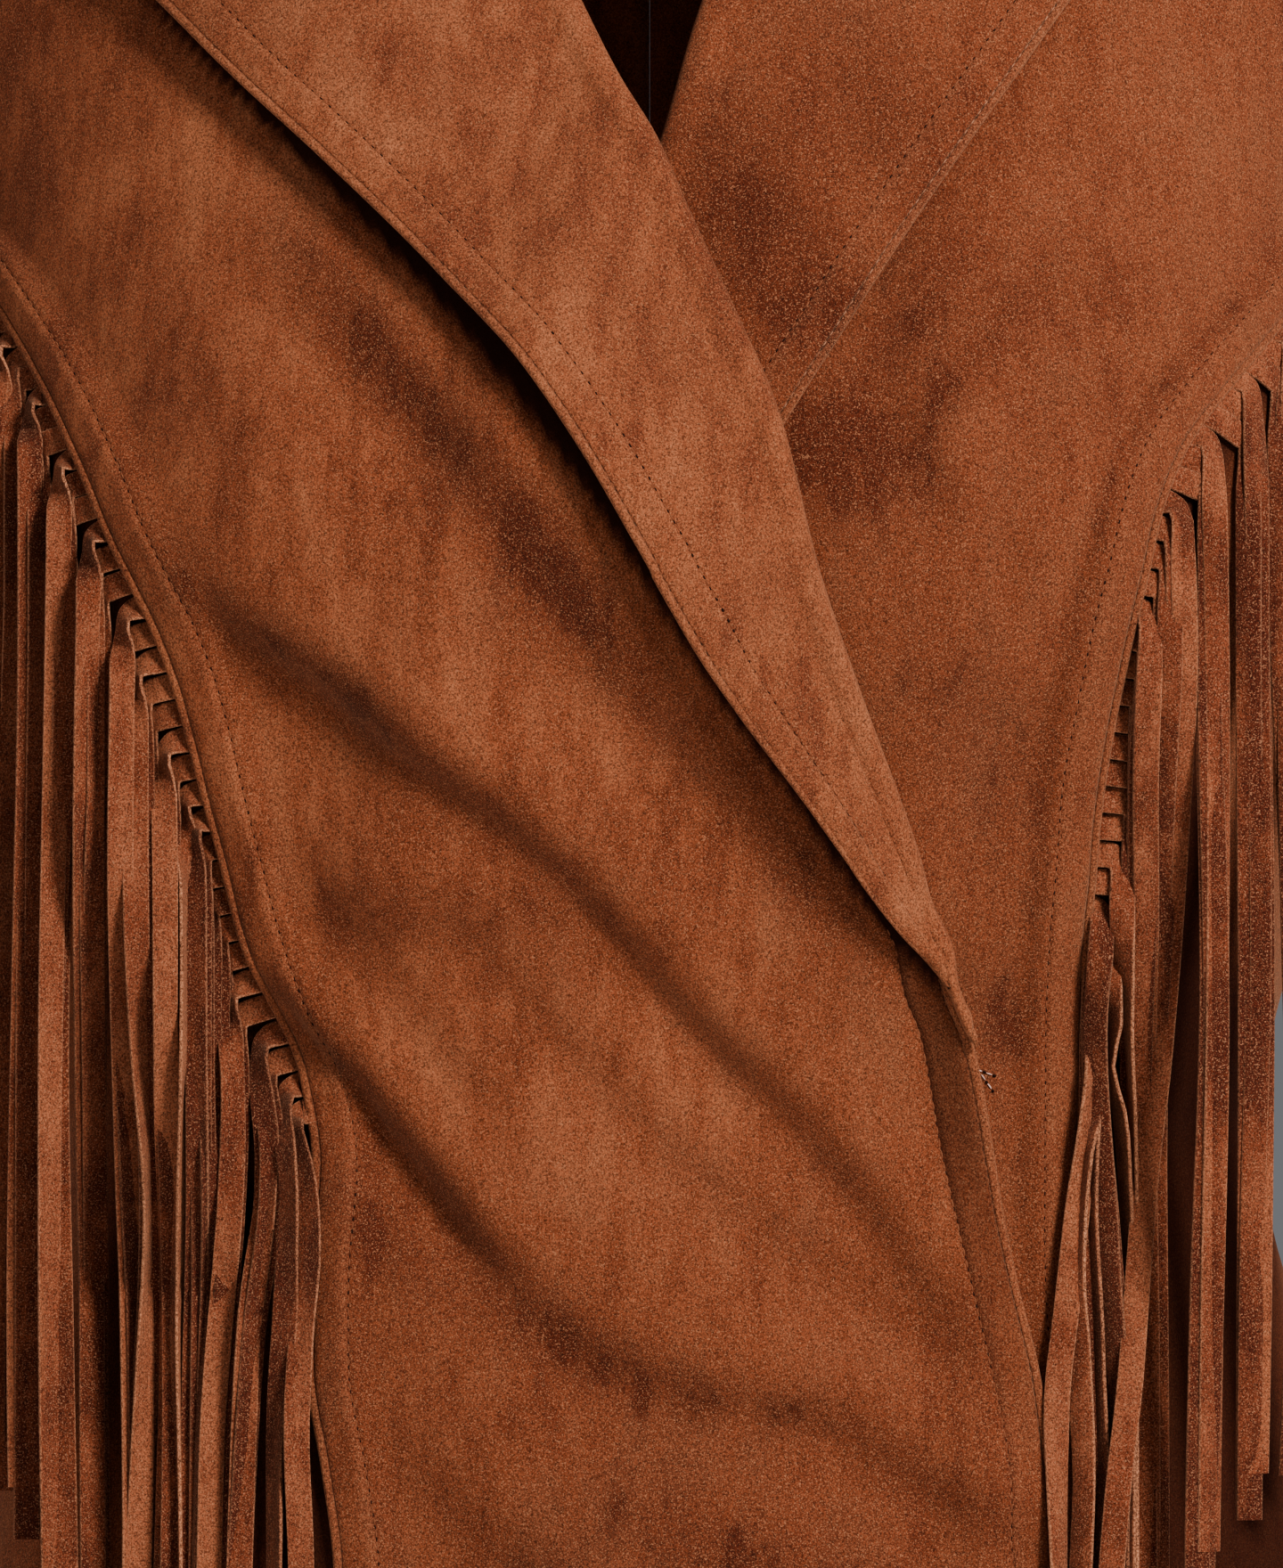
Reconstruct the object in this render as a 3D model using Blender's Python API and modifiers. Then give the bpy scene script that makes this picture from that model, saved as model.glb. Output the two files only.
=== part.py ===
"""Fringed buckskin jacket, as worn: an open, hollow garment of cloth panels.

Tables and constants are in millimetres and become metres when a mesh is made. +Z is up, the jacket faces
-Y and the wearer's left is +X. The origin is midway between the two points where the shoulder seams meet
the neck. Side is -1 for the wearer's right and +1 for the wearer's left.
"""

import bpy
import numpy as np
from mathutils.bvhtree import BVHTree

MM = 0.001

# Cloth
CLOTH = 1.6  # wall of the body panels and the sleeves
FACED = 2.0  # wall of the lapels and the collar, which are faced
SEAM = 0.4  # between two pieces sewn edge to edge
PLY = 1.0  # between two pieces that lie on each other

# Shape of the cut
HEM_Z = -600.0
NECK_X, TIP_X, TIP_Z = 72.0, 195.0, -45.0  # ends of the shoulder seam
BACK_NECK_DROP = 14.0
ARM_Y, ARM_Z, ARM_HIGH = 2.0, -128.5, 83.5  # middle and half height of the armhole
ARM_FRONT, ARM_BACK = 62.0, 58.0  # half width of the armhole, before and behind its middle
PRINCESS_Z = -187.0  # where the princess seam leaves the armhole
BUST = 0.055  # how much the bust stands out, as a share of the front's depth
LAP = 6.0  # how far the side front reaches under the front's seam edge
SEAM_RISE = 2.6  # how far the front's seam edge stands up over the side front
BAND, BAND_END = 11.0, 22.0  # the raised seam edge, and where its rise has died away

# Rows of points down a panel above and below the armhole's lowest point, and along the side front's top
HIGH_ROWS, LOW_ROWS, UNDERARM_STEPS = 10, 16, 7

# Fringe
PITCH, STRAND_WIDE, STRAND_THICK = 6.4, 5.2, 1.2
STRAND_LONG = 255.0
LAYERS, LAYER = 4, 2.3  # layers of strands, and the depth from one to the next
REACH, LEAST_STEP = 9.5, 1.6  # from the seam to a hanging strand, and from one hanging strand to the next
STRIP_OFF = CLOTH + 0.9 + STRAND_THICK / 2  # from the body to the middle of the strip
STRIP_GAP, STRIP_WIDE = 0.9, 3.4
FRINGE_TOP, FRINGE_END = -212.0, -402.0

# Body rings: depth below the origin, half width, front depth, back depth, squareness
BODY = np.array(
    [
        (-12, 40, 46, 58, 2.0),
        (0, 72, 62, 72, 2.0),
        (15, 113, 78, 86, 1.85),
        (30, 154, 88, 96, 1.75),
        (45, 195, 94, 103, 1.75),
        (80, 192, 101, 110, 1.95),
        (130, 179, 111, 115, 2.2),
        (215, 168, 127, 112, 2.4),
        (265, 170, 134, 108, 2.4),
        (340, 155, 121, 101, 2.35),
        (405, 142, 108, 96, 2.35),
        (470, 156, 113, 108, 2.35),
        (560, 178, 122, 122, 2.3),
        (600, 186, 126, 128, 2.3),
    ],
    float,
)

# Front edges: depth below the origin, distance to the wearer's left of the middle. The first rows are the
# neck and the roll line, the last are the free front edge.
EDGE_RIGHT = np.array(
    [
        (0, -72), (8, -70.5), (15, -69), (27, -65.5), (50, -58), (75, -48.5), (100, -38.5), (124, -27.5),
        (148.6, -16), (169.6, -6), (182.8, 1.8), (197, 8), (221, 18.8), (245, 29), (277, 37.6), (304.6, 47),
        (330, 56.2), (353.6, 63.5), (368.6, 66), (379.6, 69.8), (408.6, 74.4), (438, 80.2), (461.4, 86),
        (479, 88.4), (500.6, 90.2), (560, 97), (600, 101),
    ],
    float,
)
EDGE_LEFT = np.array(
    [
        (0, 72), (8, 70.5), (15, 69), (27, 65.5), (50, 56.5), (75, 46), (100, 35), (124, 24), (148.6, 12),
        (182.8, 1.6), (205, -8), (235, -20), (265, -31), (300, -40), (330, -46), (352, -50), (400, -52),
        (470, -54), (560, -58), (600, -62),
    ],
    float,
)

# Princess seams: depth below the origin, distance from the middle
PRINCESS_RIGHT = np.array(
    [
        (187, 165), (200, 157), (216, 147), (238, 134.5), (255, 126.5), (272.4, 119.2), (288, 112.2),
        (304.6, 106.4), (338.6, 96.8), (358.8, 91.5), (374.8, 85.5), (391.6, 79.5), (414.8, 75.5),
        (440, 76.3), (457, 76.3), (480, 73), (500.6, 70.2), (560, 67.5), (600, 68),
    ],
    float,
)
PRINCESS_LEFT = np.array(
    [
        (187, 165), (200, 156.5), (216, 145), (235, 129.5), (250, 119), (263, 113.4), (276, 110.2),
        (291, 106.8), (309, 103.6), (324, 101), (344, 99.2), (361, 98), (390, 97.2), (405, 97), (440, 97.6),
        (470, 99), (500, 101.5), (560, 108), (600, 113),
    ],
    float,
)

# Lapels: depth of the roll line, then the outer edge across from it (sideways, depth), then how far that
# edge stands off the front
LAPEL_RIGHT = np.array(
    [
        (27, -136, 117, 4), (50, -127.5, 127, 6), (75, -117, 139, 8), (100, -104, 153, 10),
        (124, -90, 168, 11), (148.6, -72, 186, 12), (182.8, -50, 209, 12), (209, -32.5, 229.5, 12),
        (232.6, -16, 252, 11), (257.6, -2, 273, 10), (292, 15.6, 301, 8), (318.6, 34, 326.6, 6),
        (342, 50, 350, 4), (353.6, 56.8, 358.2, 3),
    ],
    float,
)
LAPEL_LEFT = np.array(
    [
        (27, 120, 110, 4), (50, 111.5, 121, 4.5), (75, 102, 135, 5), (100, 92.4, 148.6, 5),
        (124, 83, 162.6, 5), (148.6, 70, 182, 4.5), (183, 53, 208, 3.5), (209, 38, 232, 1),
        (232.6, 24, 254, 0.2), (257.6, 10, 276, 0), (292, -8, 303, 0), (318, -27, 326, 0),
        (338, -38.5, 343, 0),
    ],
    float,
)

# Collar's outer edge, from the notch to the middle of the back: share of the way round the neck, then a
# point near the edge (sideways, back, up), then the height of the stand there
NOTCH = 0.58  # along the gorge, from the roll line to the lapel's point
COLLAR = np.array(
    [
        (0.10, 140, -60, -64, 5), (0.22, 141, -32, -42, 15), (0.36, 130, 6, -22, 23), (0.50, 119, 50, -27, 27),
        (0.65, 95, 82, -36, 29), (0.82, 52, 102, -44, 30), (1.00, 0, 109, -48, 30),
    ],
    float,
)

# Sleeve rings down the arm: sideways, forward and down to the middle, half width, half depth
ARM = np.array(
    [
        (241, -4, -236, 57, 64), (257, -4, -305, 54, 61), (272, -5, -375, 51, 57), (286, -9, -440, 49, 54),
        (298, -16, -505, 47, 51), (308, -25, -568, 45, 48), (316, -35, -630, 44, 46),
    ],
    float,
)
ARM_HOLE_SHIFT = 1.4  # from the armhole's edge to the middle of the sleeve's wall


def clear_scene():
    for thing in list(bpy.data.objects):
        bpy.data.objects.remove(thing, do_unlink=True)


def smooth(table, at):
    """The table's other columns at these values of its rising first column, with no overshoot."""
    knots = table[:, 0]
    values = table[:, 1:]
    at = np.clip(np.asarray(at, float), knots[0], knots[-1])
    step = np.diff(knots)
    rise = np.diff(values, axis=0) / step[:, None]
    product = rise[:-1] * rise[1:]
    total = np.where(product > 0, rise[:-1] + rise[1:], 1.0)
    inner = np.where(product > 0, 2 * product / total, 0.0)
    slope = np.vstack([rise[:1], inner, rise[-1:]])
    i = np.clip(np.searchsorted(knots, at, side="right") - 1, 0, len(step) - 1)
    t = ((at - knots[i]) / step[i])[..., None]
    h = step[i][..., None]
    start = values[i] * (1 + 2 * t) * (1 - t) ** 2 + h * slope[i] * t * (1 - t) ** 2
    end = values[i + 1] * t * t * (3 - 2 * t) + h * slope[i + 1] * t * t * (t - 1)
    return start + end


def ramp(value):
    """0 below 0, 1 above 1, and an S between them."""
    t = np.clip(value, 0, 1)
    return t * t * (3 - 2 * t)


def body_size(x, y, z):
    """Half width, depth on this side and squareness of the body's ring at these points."""
    wide, front, back, square = np.moveaxis(smooth(BODY, -z), -1, 0)
    bust = 1 + BUST * np.exp(-(((np.abs(x) - 92) / 46) ** 2) - ((z + 262) / 58) ** 2)
    return wide, np.where(y < 0, front * bust, back), square


def beyond(points):
    """0 on the body's surface, less inside it and more outside."""
    x, y, z = np.moveaxis(points, -1, 0)
    wide, deep, square = body_size(x, y, z)
    return (np.abs(x / wide) ** square + np.abs(y / deep) ** square) ** (1 / square) - 1


def seat(points):
    """The points moved along lines from inside the body until they lie on its surface."""
    x, y, z = np.moveaxis(points, -1, 0)
    inside = np.stack([0.75 * x, 0 * y, np.minimum(z, -130.0)], -1)
    low = np.full(x.shape, 0.2)
    high = np.full(x.shape, 2.5)
    for _ in range(45):
        middle = (low + high) / 2
        within = beyond(inside + middle[..., None] * (points - inside)) < 0
        low = np.where(within, middle, low)
        high = np.where(within, high, middle)
    return inside + low[..., None] * (points - inside)


def outward(points):
    """Unit vectors that point out of the body."""
    found = np.zeros_like(points)
    for axis in range(3):
        step = np.zeros(3)
        step[axis] = 0.4
        found[..., axis] = beyond(points + step) - beyond(points - step)
    return unit(found)


def unit(vectors):
    return vectors / np.maximum(np.linalg.norm(vectors, axis=-1, keepdims=True), 1e-12)


def on_front(x, z):
    """The points of the body's front at this distance sideways and this height."""
    x, z = np.broadcast_arrays(np.asarray(x, float), np.asarray(z, float))
    wide, deep, square = body_size(x, -1 + 0 * x, z)
    share = np.clip(1 - np.abs(x / wide) ** square, 0, 1)
    return np.stack([x, -deep * share ** (1 / square), z], -1)


def even_steps(points, count):
    """This many steps of equal length along a dense line of points."""
    way = np.concatenate([[0], np.cumsum(np.linalg.norm(np.diff(points, axis=0), axis=1))])
    at = np.linspace(0, way[-1], count + 1)
    return np.stack([np.interp(at, way, points[:, k]) for k in range(3)], -1)


def armhole(angles, side):
    """Points of the armhole at these angles: 0 at the top, 90 in front, 180 underneath, 270 behind."""
    turn = np.radians(np.asarray(angles, float))
    across = np.sin(turn)
    y = ARM_Y - across * np.where(across > 0, ARM_FRONT, ARM_BACK)
    z = ARM_Z + ARM_HIGH * np.cos(turn)
    wide, deep, square = body_size(165 + 0 * y, y, z)
    x = wide * (1 - np.abs(y / deep) ** square) ** (1 / square)
    return np.stack([side * x, y, z], -1)


def princess(side):
    return PRINCESS_RIGHT if side < 0 else PRINCESS_LEFT


def seam_x(side, z):
    """How far from the middle the princess seam is at this height."""
    return smooth(princess(side), -np.asarray(z, float))[..., 0]


def princess_line(side, inwards=0.0):
    """The princess seam, or a line this far under the front's edge once it is clear of the armhole."""
    z = np.linspace(PRINCESS_Z, HEM_Z, 400)
    under = inwards * ramp((-214 - z) / 20)
    line = on_front(side * (seam_x(side, z) - under), z)
    line[0] = armhole([armhole_turn()], side)[0]
    return line


def front_edge(side):
    """The neck, roll line and free edge of a front, from the shoulder down."""
    edge = EDGE_RIGHT if side < 0 else EDGE_LEFT
    z = HEM_Z * np.linspace(0, 1, 1500) ** 2
    return on_front(smooth(edge, -z)[:, 0], z)


def part_at(line, z):
    """The line in two, cut at this height."""
    cut = int(np.argmax(line[:, 2] <= z))
    return line[: cut + 1], line[cut:]


def right_lift(points):
    """How far the wearer's right side stands off the body to lie over the left front."""
    x, z = points[..., 0], points[..., 2]
    beneath = smooth(EDGE_LEFT, -z)[..., 0]
    outer = smooth(LAPEL_LEFT[:, [2, 1]], -z)[..., 0]
    lift = 2.8 * ramp((x - beneath + 56) / 50)
    over_lapel = ramp((x - beneath + 30) / 24) * ramp((outer + 28 - x) / 20)
    over_lapel = over_lapel * ramp((-140 - z) / 35) * ramp((z + 362) / 18)
    over_seam = ramp((x - seam_x(1, z) + 38) / 14) * ramp((-190 - z) / 30)
    return lift + 3.8 * over_lapel + 2.8 * over_seam


def drape(grid, off, lift=None):
    """The grid seated on the body, then moved out to this distance."""
    seated = seat(grid)
    if lift is not None:
        off = off + lift(seated)
    return seated + outward(seated) * np.broadcast_to(off, grid.shape[:-1])[..., None]


def trim(grid, sides, by=SEAM / 2):
    """The grid with its named edges moved in, to leave room for a seam."""
    grid = grid.copy()
    if "top" in sides:
        grid[0] += by * unit(grid[1] - grid[0])
    if "bottom" in sides:
        grid[-1] += by * unit(grid[-2] - grid[-1])
    if "start" in sides:
        grid[:, 0] += by * unit(grid[:, 1] - grid[:, 0])
    if "end" in sides:
        grid[:, -1] += by * unit(grid[:, -2] - grid[:, -1])
    return grid


def between(start, end, shares):
    """Rows from start to end, with points at these shares of the way."""
    shares = np.broadcast_to(shares, (len(start), np.shape(shares)[-1]))[..., None]
    return (1 - shares) * start[:, None] + shares * end[:, None]


def cloth(name, grid, thick, material, around=False):
    """A sheet through the grid's points, made a wall of this thickness."""
    rows, columns = grid.shape[:2]
    faces = []
    for row in range(rows - 1):
        for column in range(columns if around else columns - 1):
            after = (column + 1) % columns
            a, b = row * columns + column, row * columns + after
            faces.append((a, b, b + columns, a + columns))
    return sheet(name, grid.reshape(-1, 3), faces, thick, material)


def sheet(name, points, faces, thick, material):
    mesh = bpy.data.meshes.new(name)
    mesh.from_pydata([tuple(point * MM) for point in points], [], faces)
    mesh.polygons.foreach_set("use_smooth", [True] * len(mesh.polygons))
    mesh.materials.append(material)
    piece = bpy.data.objects.new(name, mesh)
    bpy.data.collections["Fringed buckskin jacket"].objects.link(piece)
    wall = piece.modifiers.new("Wall", "SOLIDIFY")
    wall.thickness = thick * MM
    wall.offset = 0
    wall.use_even_offset = True
    wall.use_quality_normals = True
    return piece


def suede(name, colour):
    material = bpy.data.materials.new(name)
    material.use_nodes = True
    shader = material.node_tree.nodes["Principled BSDF"]
    shader.inputs["Base Color"].default_value = (*colour, 1)
    shader.inputs["Roughness"].default_value = 0.9
    material.diffuse_color = (*colour, 1)
    return material


def front_grid(side):
    """The middle of a front's wall, from its free edge to the princess seam's raised edge."""
    high, low = part_at(front_edge(side), -165)
    start = np.vstack([even_steps(high, HIGH_ROWS), even_steps(low, LOW_ROWS)[1:]])
    arm = armhole_steps(side, 0, armhole_turn(), HIGH_ROWS)
    end = np.vstack([arm, even_steps(princess_line(side), LOW_ROWS)[1:]])
    apart = np.linalg.norm(end - start, axis=1)[:, None]
    inner = np.linspace(0, 1, 8) * (1 - BAND_END / apart)
    shares = np.hstack([inner, 1 - BAND / apart, np.ones_like(apart)])
    grid = between(start, end, shares)
    band = np.zeros(grid.shape[:2])
    band[:, -2:] = ramp((-188 - end[:, 2]) / 16)[:, None]
    lift = right_lift if side < 0 else None
    draped = drape(grid, CLOTH / 2 + SEAM_RISE * band, lift)
    return trim(trim(draped, ["end"]), ["top"], 0.4)


def armhole_steps(side, first, last, count):
    """This many steps of equal length round the armhole, between two angles."""
    return even_steps(armhole(np.linspace(first, last, 300), side), count)


def armhole_turn():
    """The angle round the armhole where the princess seam leaves it."""
    return np.degrees(np.arccos((PRINCESS_Z - ARM_Z) / ARM_HIGH))


def side_seam(side):
    """From the underarm straight down the side to the hem."""
    z = np.linspace(ARM_Z - ARM_HIGH, HEM_Z, 300)
    y = ARM_Y + 0 * z
    wide, deep, square = body_size(165 + 0 * z, y, z)
    return np.stack([side * wide * (1 - (y / deep) ** square) ** (1 / square), y, z], -1)


def blanket(top, bottom, start, end):
    """A grid stretched between four edges; top and bottom run from start to end."""
    u = np.linspace(0, 1, len(top))[None, :, None]
    v = np.linspace(0, 1, len(start))[:, None, None]
    across = (1 - u) * start[:, None] + u * end[:, None]
    down = (1 - v) * top[None] + v * bottom[None]
    corners = (1 - v) * ((1 - u) * top[0] + u * top[-1]) + v * ((1 - u) * bottom[0] + u * bottom[-1])
    return across + down - corners


def side_front_grid(side):
    """The middle of a side front's wall, from under the front's seam edge to the side seam."""
    start = even_steps(princess_line(side, LAP), LOW_ROWS)
    end = even_steps(side_seam(side), LOW_ROWS)
    top = armhole_steps(side, armhole_turn(), 180, UNDERARM_STEPS)
    bottom = seat(between(start[-1:], end[-1:], np.linspace(0, 1, UNDERARM_STEPS + 1))[0])
    grid = blanket(top, bottom, start, end)
    lift = right_lift if side < 0 else None
    return trim(drape(grid, CLOTH / 2, lift), ["start", "end"])


def back_neck(side, count):
    """The back of the neck, from the middle to the shoulder seam."""
    turn = np.radians(np.linspace(90, 0, 200))
    z = -BACK_NECK_DROP * np.sin(turn) ** 2
    wide, deep, square = body_size(0 * z, 1 + 0 * z, z)
    across = wide * np.abs(np.cos(turn)) ** (2 / square)
    back = deep * np.abs(np.sin(turn)) ** (2 / square)
    return even_steps(np.stack([side * across, back, z], -1), count)


def back_grid(side):
    """The middle of a back's wall, from the centre back seam to the side seam."""
    z = np.linspace(-BACK_NECK_DROP, HEM_Z, 400)
    start = even_steps(seat(np.stack([0 * z, 110 + 0 * z, z], -1)), HIGH_ROWS + LOW_ROWS)
    arm = armhole_steps(side, 360, 180, HIGH_ROWS)
    end = np.vstack([arm, even_steps(side_seam(side), LOW_ROWS)[1:]])
    neck, tip = np.array([side * NECK_X, 0, 0]), np.array([side * TIP_X, 0, TIP_Z])
    shoulder = neck + np.linspace(0, 1, 6)[1:, None] * (tip - neck)
    top = np.vstack([back_neck(side, 4), shoulder])
    around = np.radians(np.linspace(180, 90, 10))
    bottom = seat(np.stack([side * 180 * np.sin(around), -140 * np.cos(around), HEM_Z + 0 * around], -1))
    bottom[-1] = end[-1]
    draped = drape(blanket(top, bottom, start, end), CLOTH / 2)
    draped = trim(draped, ["start", "end"])
    draped[0, 4:] += 0.4 * unit(draped[1, 4:] - draped[0, 4:])
    return draped


class Ground:
    """The panels' walls, which other pieces are laid over."""

    def __init__(self, grids):
        self.trees = []
        for grid in grids:
            rows, columns = grid.shape[:2]
            corners = [r * columns + c for r in range(rows - 1) for c in range(columns - 1)]
            faces = [(k, k + 1, k + columns + 1, k + columns) for k in corners]
            self.trees.append(BVHTree.FromPolygons([tuple(p) for p in grid.reshape(-1, 3)], faces))

    def clear(self, grid, least):
        """The points of the grid that lie lower than this above a wall's middle are lifted to that height."""
        flat = grid.reshape(-1, 3).copy()
        for tree in self.trees:
            out = outward(flat)
            for k, point in enumerate(flat):
                near = np.array(tree.find_nearest(tuple(point))[0])
                height = float(np.dot(point - near, out[k]))
                aside = np.linalg.norm(point - near - out[k] * height)
                if height < least and aside < 3.0:
                    flat[k] = point + out[k] * (least - height)
        return flat.reshape(grid.shape)


def lapel_table(side):
    return LAPEL_RIGHT if side < 0 else LAPEL_LEFT


def lapel_grid(side, panel, ground):
    """The middle of a lapel's wall: it rolls round its front's edge and lies out over the front."""
    table = lapel_table(side)
    depths = table[0, 0] + (table[-1, 0] - table[0, 0]) * np.linspace(0, 1, 23) ** 1.4
    outer = smooth(table, depths)
    roll = np.stack([np.interp(depths, -panel[:, 0, 2], panel[:, 0, k]) for k in range(3)], -1)
    tips = on_front(outer[:, 0], -outer[:, 1])
    lift = right_lift if side < 0 else (lambda points: 0 * points[..., 0])
    out = outward(roll)
    over = unit(tips - roll)
    over = unit(over - out * np.sum(over * out, -1, keepdims=True))
    hook = np.array([(-2.4, 0.0), (-2.1, 2.4), (1.2, 3.8)])
    rolled = roll[:, None] + over[:, None] * hook[:, :1] + out[:, None] * hook[:, 1:]
    shares = np.linspace(0, 1, 10)[1:]
    flat = seat(between(roll + 1.8 * over, tips, shares))
    off = lift(flat) + CLOTH + PLY + FACED / 2 + 0.2 + outer[:, 2:3] * shares**1.6
    grid = np.concatenate([rolled, flat + outward(flat) * off[..., None]], axis=1)
    grid[:, 2:] = ground.clear(grid[:, 2:], CLOTH / 2 + PLY + FACED / 2 + 0.3)
    grid[0] += 0.6 * unit(grid[1] - grid[0])
    return grid


def collar_half(side, ground):
    """The middle of the collar's wall, from the gorge round to the middle of the back."""
    table = lapel_table(side)
    front, _ = part_at(front_edge(side), -table[0, 0])
    behind = back_neck(side, 60)
    neck = np.vstack([front[::-1], behind[::-1][1:]])
    shares = np.array([0, 0.05, 0.10, 0.15, 0.20, 0.26, 0.33, 0.41, 0.50, 0.60, 0.70, 0.80, 0.90, 1])
    way = np.concatenate([[0], np.cumsum(np.linalg.norm(np.diff(neck, axis=0), axis=1))])
    base = np.stack([np.interp(shares * way[-1], way, neck[:, k]) for k in range(3)], -1)
    point = on_front(table[0, 1], -table[0, 2])
    notch = base[0] + NOTCH * (point - base[0])
    rest = smooth(COLLAR, shares[2:])
    rest[:, 0] *= side
    tips = seat(np.vstack([seat(notch[None]), (notch + rest[0, :3])[None] / 2, rest[:, :3]]))
    stand = np.concatenate([[0, 1], rest[:, 3]])[:, None]
    out = outward(base)
    over = unit(tips - base)
    over = unit(over - out * np.sum(over * out, -1, keepdims=True))
    full = np.clip(stand / 12, 0, 1)
    up = np.array([0.0, 0.0, 1.0])
    places = (
        ((-1.9, 0.8), (-1.9, 0.8), 0.0),
        ((-1.9, 1.5), (-1.9, 1.5), 0.45),
        ((-1.8, 2.2), (-2.6, 2.2), 0.95),
        ((-1.3, 3.2), (-0.2, 4.6), 1.0),
        ((1.4, 3.8), (3.2, 3.0), 1.0),
    )
    columns = []
    for flat_place, stood_place, share in places:
        place = np.array(flat_place) * (1 - full) + np.array(stood_place) * full
        columns.append(base + over * place[:, :1] + out * place[:, 1:] + up * stand * share)
    lowest = CLOTH + PLY + FACED / 2 + 0.4
    for share in (0.25, 0.45, 0.65, 0.83, 1.0):
        guess = columns[4] + share * (tips + outward(tips) * (lowest + 2.5) - columns[4])
        guess[0] = base[0] + share * (notch - base[0])
        under = seat(guess)
        above = np.sum((guess - under) * outward(under), -1, keepdims=True)
        floor = lowest + 2.5 * share**1.6
        columns.append(np.where(above > floor, guess, under + outward(under) * floor))
    grid = np.stack(columns, axis=1)
    grid[:, 5:] = ground.clear(grid[:, 5:], CLOTH / 2 + PLY + FACED / 2)
    return grid


def collar_grid(ground):
    """The whole collar, from one gorge seam to the other."""
    right, left = collar_half(-1, ground), collar_half(1, ground)
    middle = right[-1:] * [0, 1, 1]
    grid = np.concatenate([right[:-1], middle, left[:-1][::-1]])
    return trim(grid, ["top", "bottom"], 0.6)


def sleeve_grid(side):
    """The middle of a sleeve's wall, from inside the armhole's edge and over the shoulder to the cuff."""
    front = armhole_steps(1, 0, armhole_turn(), HIGH_ROWS)
    under = armhole_steps(1, armhole_turn(), 180, UNDERARM_STEPS)
    behind = armhole_steps(1, 180, 360, HIGH_ROWS)
    hole = np.vstack([front[:-1], under[:-1], behind[:-1]])
    aside = ARM_Y - hole[:, 1]
    aside = aside / np.where(aside > 0, ARM_FRONT, ARM_BACK)
    turn = np.arctan2(aside, (hole[:, 2] - ARM_Z) / ARM_HIGH)[:, None]
    out = outward(hole)
    middle = np.array([170, ARM_Y, ARM_Z])
    inwards = unit(middle - hole)
    inwards = unit(inwards - out * np.sum(inwards * out, -1, keepdims=True))
    root = hole + inwards * ARM_HOLE_SHIFT
    proud = root + out * 5.0
    centres = ARM[:, :3]
    along = unit(np.gradient(centres, axis=0))
    sideways = unit(np.array([1.0, 0, 0]) - along * along[:, :1])
    rings = []
    for centre, aside, size in zip(centres, sideways, ARM[:, 3:]):
        ring = centre + aside * size[0] * np.cos(turn) - np.array([0, size[1], 0]) * np.sin(turn)
        rings.append(ring)
    apart = np.linalg.norm(rings[0] - proud, axis=1)[:, None]
    low = (1 - np.cos(turn)) / 2
    leave = unit((1 - low) * np.array([0.93, 0, -0.30]) + low * np.array([0.45, 0, -0.75]) + 0.25 * out)
    arrive = along[0]
    cap = []
    for t in (0.17, 0.34, 0.5, 0.66, 0.83):
        place = (1 + 2 * t) * (1 - t) ** 2 * proud + t * t * (3 - 2 * t) * rings[0]
        pull = t * (1 - t) ** 2 * leave * apart * 1.15 + t * t * (t - 1) * arrive * apart * 1.0
        cap.append(place + pull)
    return np.stack([root + out * 0.8, proud] + cap + rings) * [side, 1, 1]


def surface_depth(x, z):
    """How far forward the body's front is, with x as the distance from the middle."""
    return -on_front(x, z)[..., 1]


def hang_depth(roots, x, z):
    """How far forward a strand hangs: as far as the most forward point that it has passed on its way."""
    top = max(np.interp(x, roots[0], roots[1]), z)
    levels = z + (top - z) * np.linspace(0, 1, 25)
    return float(np.max(surface_depth(np.full(25, x), np.maximum(levels, HEM_Z))))


def strand_point(side, roots, x, z, off):
    """A point off the hanging surface at this distance from the middle and height."""
    here = hang_depth(roots, x, z)
    slope = (hang_depth(roots, x + 4, z) - hang_depth(roots, x - 4, z)) / 8
    slope = np.clip(slope, -1.6, 1.6)
    size = np.hypot(1, slope)
    level = max(z, HEM_Z)
    lift = float(right_lift(np.array([side * x, -here, level]))) if side < 0 else 0.0
    over_edge = (SEAM_RISE + 0.6) * ramp((seam_x(side, level) + 8 - x) / 6)
    away = off + lift + float(over_edge * ramp((FRINGE_END - 8 - z) / 20) + 2 * ramp((-560 - z) / 40))
    return np.array([side * (x - slope / size * away), -here - away / size, z]), slope


def strand_lines(side, roots, x, z_root, x_root, heading, off_end, length):
    """Cross lines of one strand from its root, round its bend and down, as pairs of points."""
    turn = np.arccos(np.clip(-heading[1], -1, 1))
    radius = (x - x_root) / (1 - np.cos(turn))
    pairs = []
    half = STRAND_WIDE / 2
    for share in (0.35, 0.7, 1.0):
        angle = turn * (1 - share)
        cx = x_root + radius * (np.cos(angle) - np.cos(turn))
        cz = z_root - radius * (np.sin(turn) - np.sin(angle))
        pair = []
        for edge in (1, -1):
            ex, ez = cx + edge * half * np.cos(angle), cz + edge * half * np.sin(angle)
            blend = ramp((ex - x_root - 0.8) / max(x - x_root - 2.2, 1.0))
            pair.append(strand_point(side, roots, ex, ez, STRIP_OFF + (off_end - STRIP_OFF) * blend)[0])
        pairs.append(pair)
    for share in (0.2, 0.45, 0.72, 1.0):
        cz = z_root - radius * np.sin(turn) - share * (length - radius * turn)
        slope = strand_point(side, roots, x, cz, off_end)[1]
        reach = half / np.hypot(1, slope)
        pairs.append([strand_point(side, roots, x + edge * reach, cz, off_end)[0] for edge in (1, -1)])
    return pairs


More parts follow.
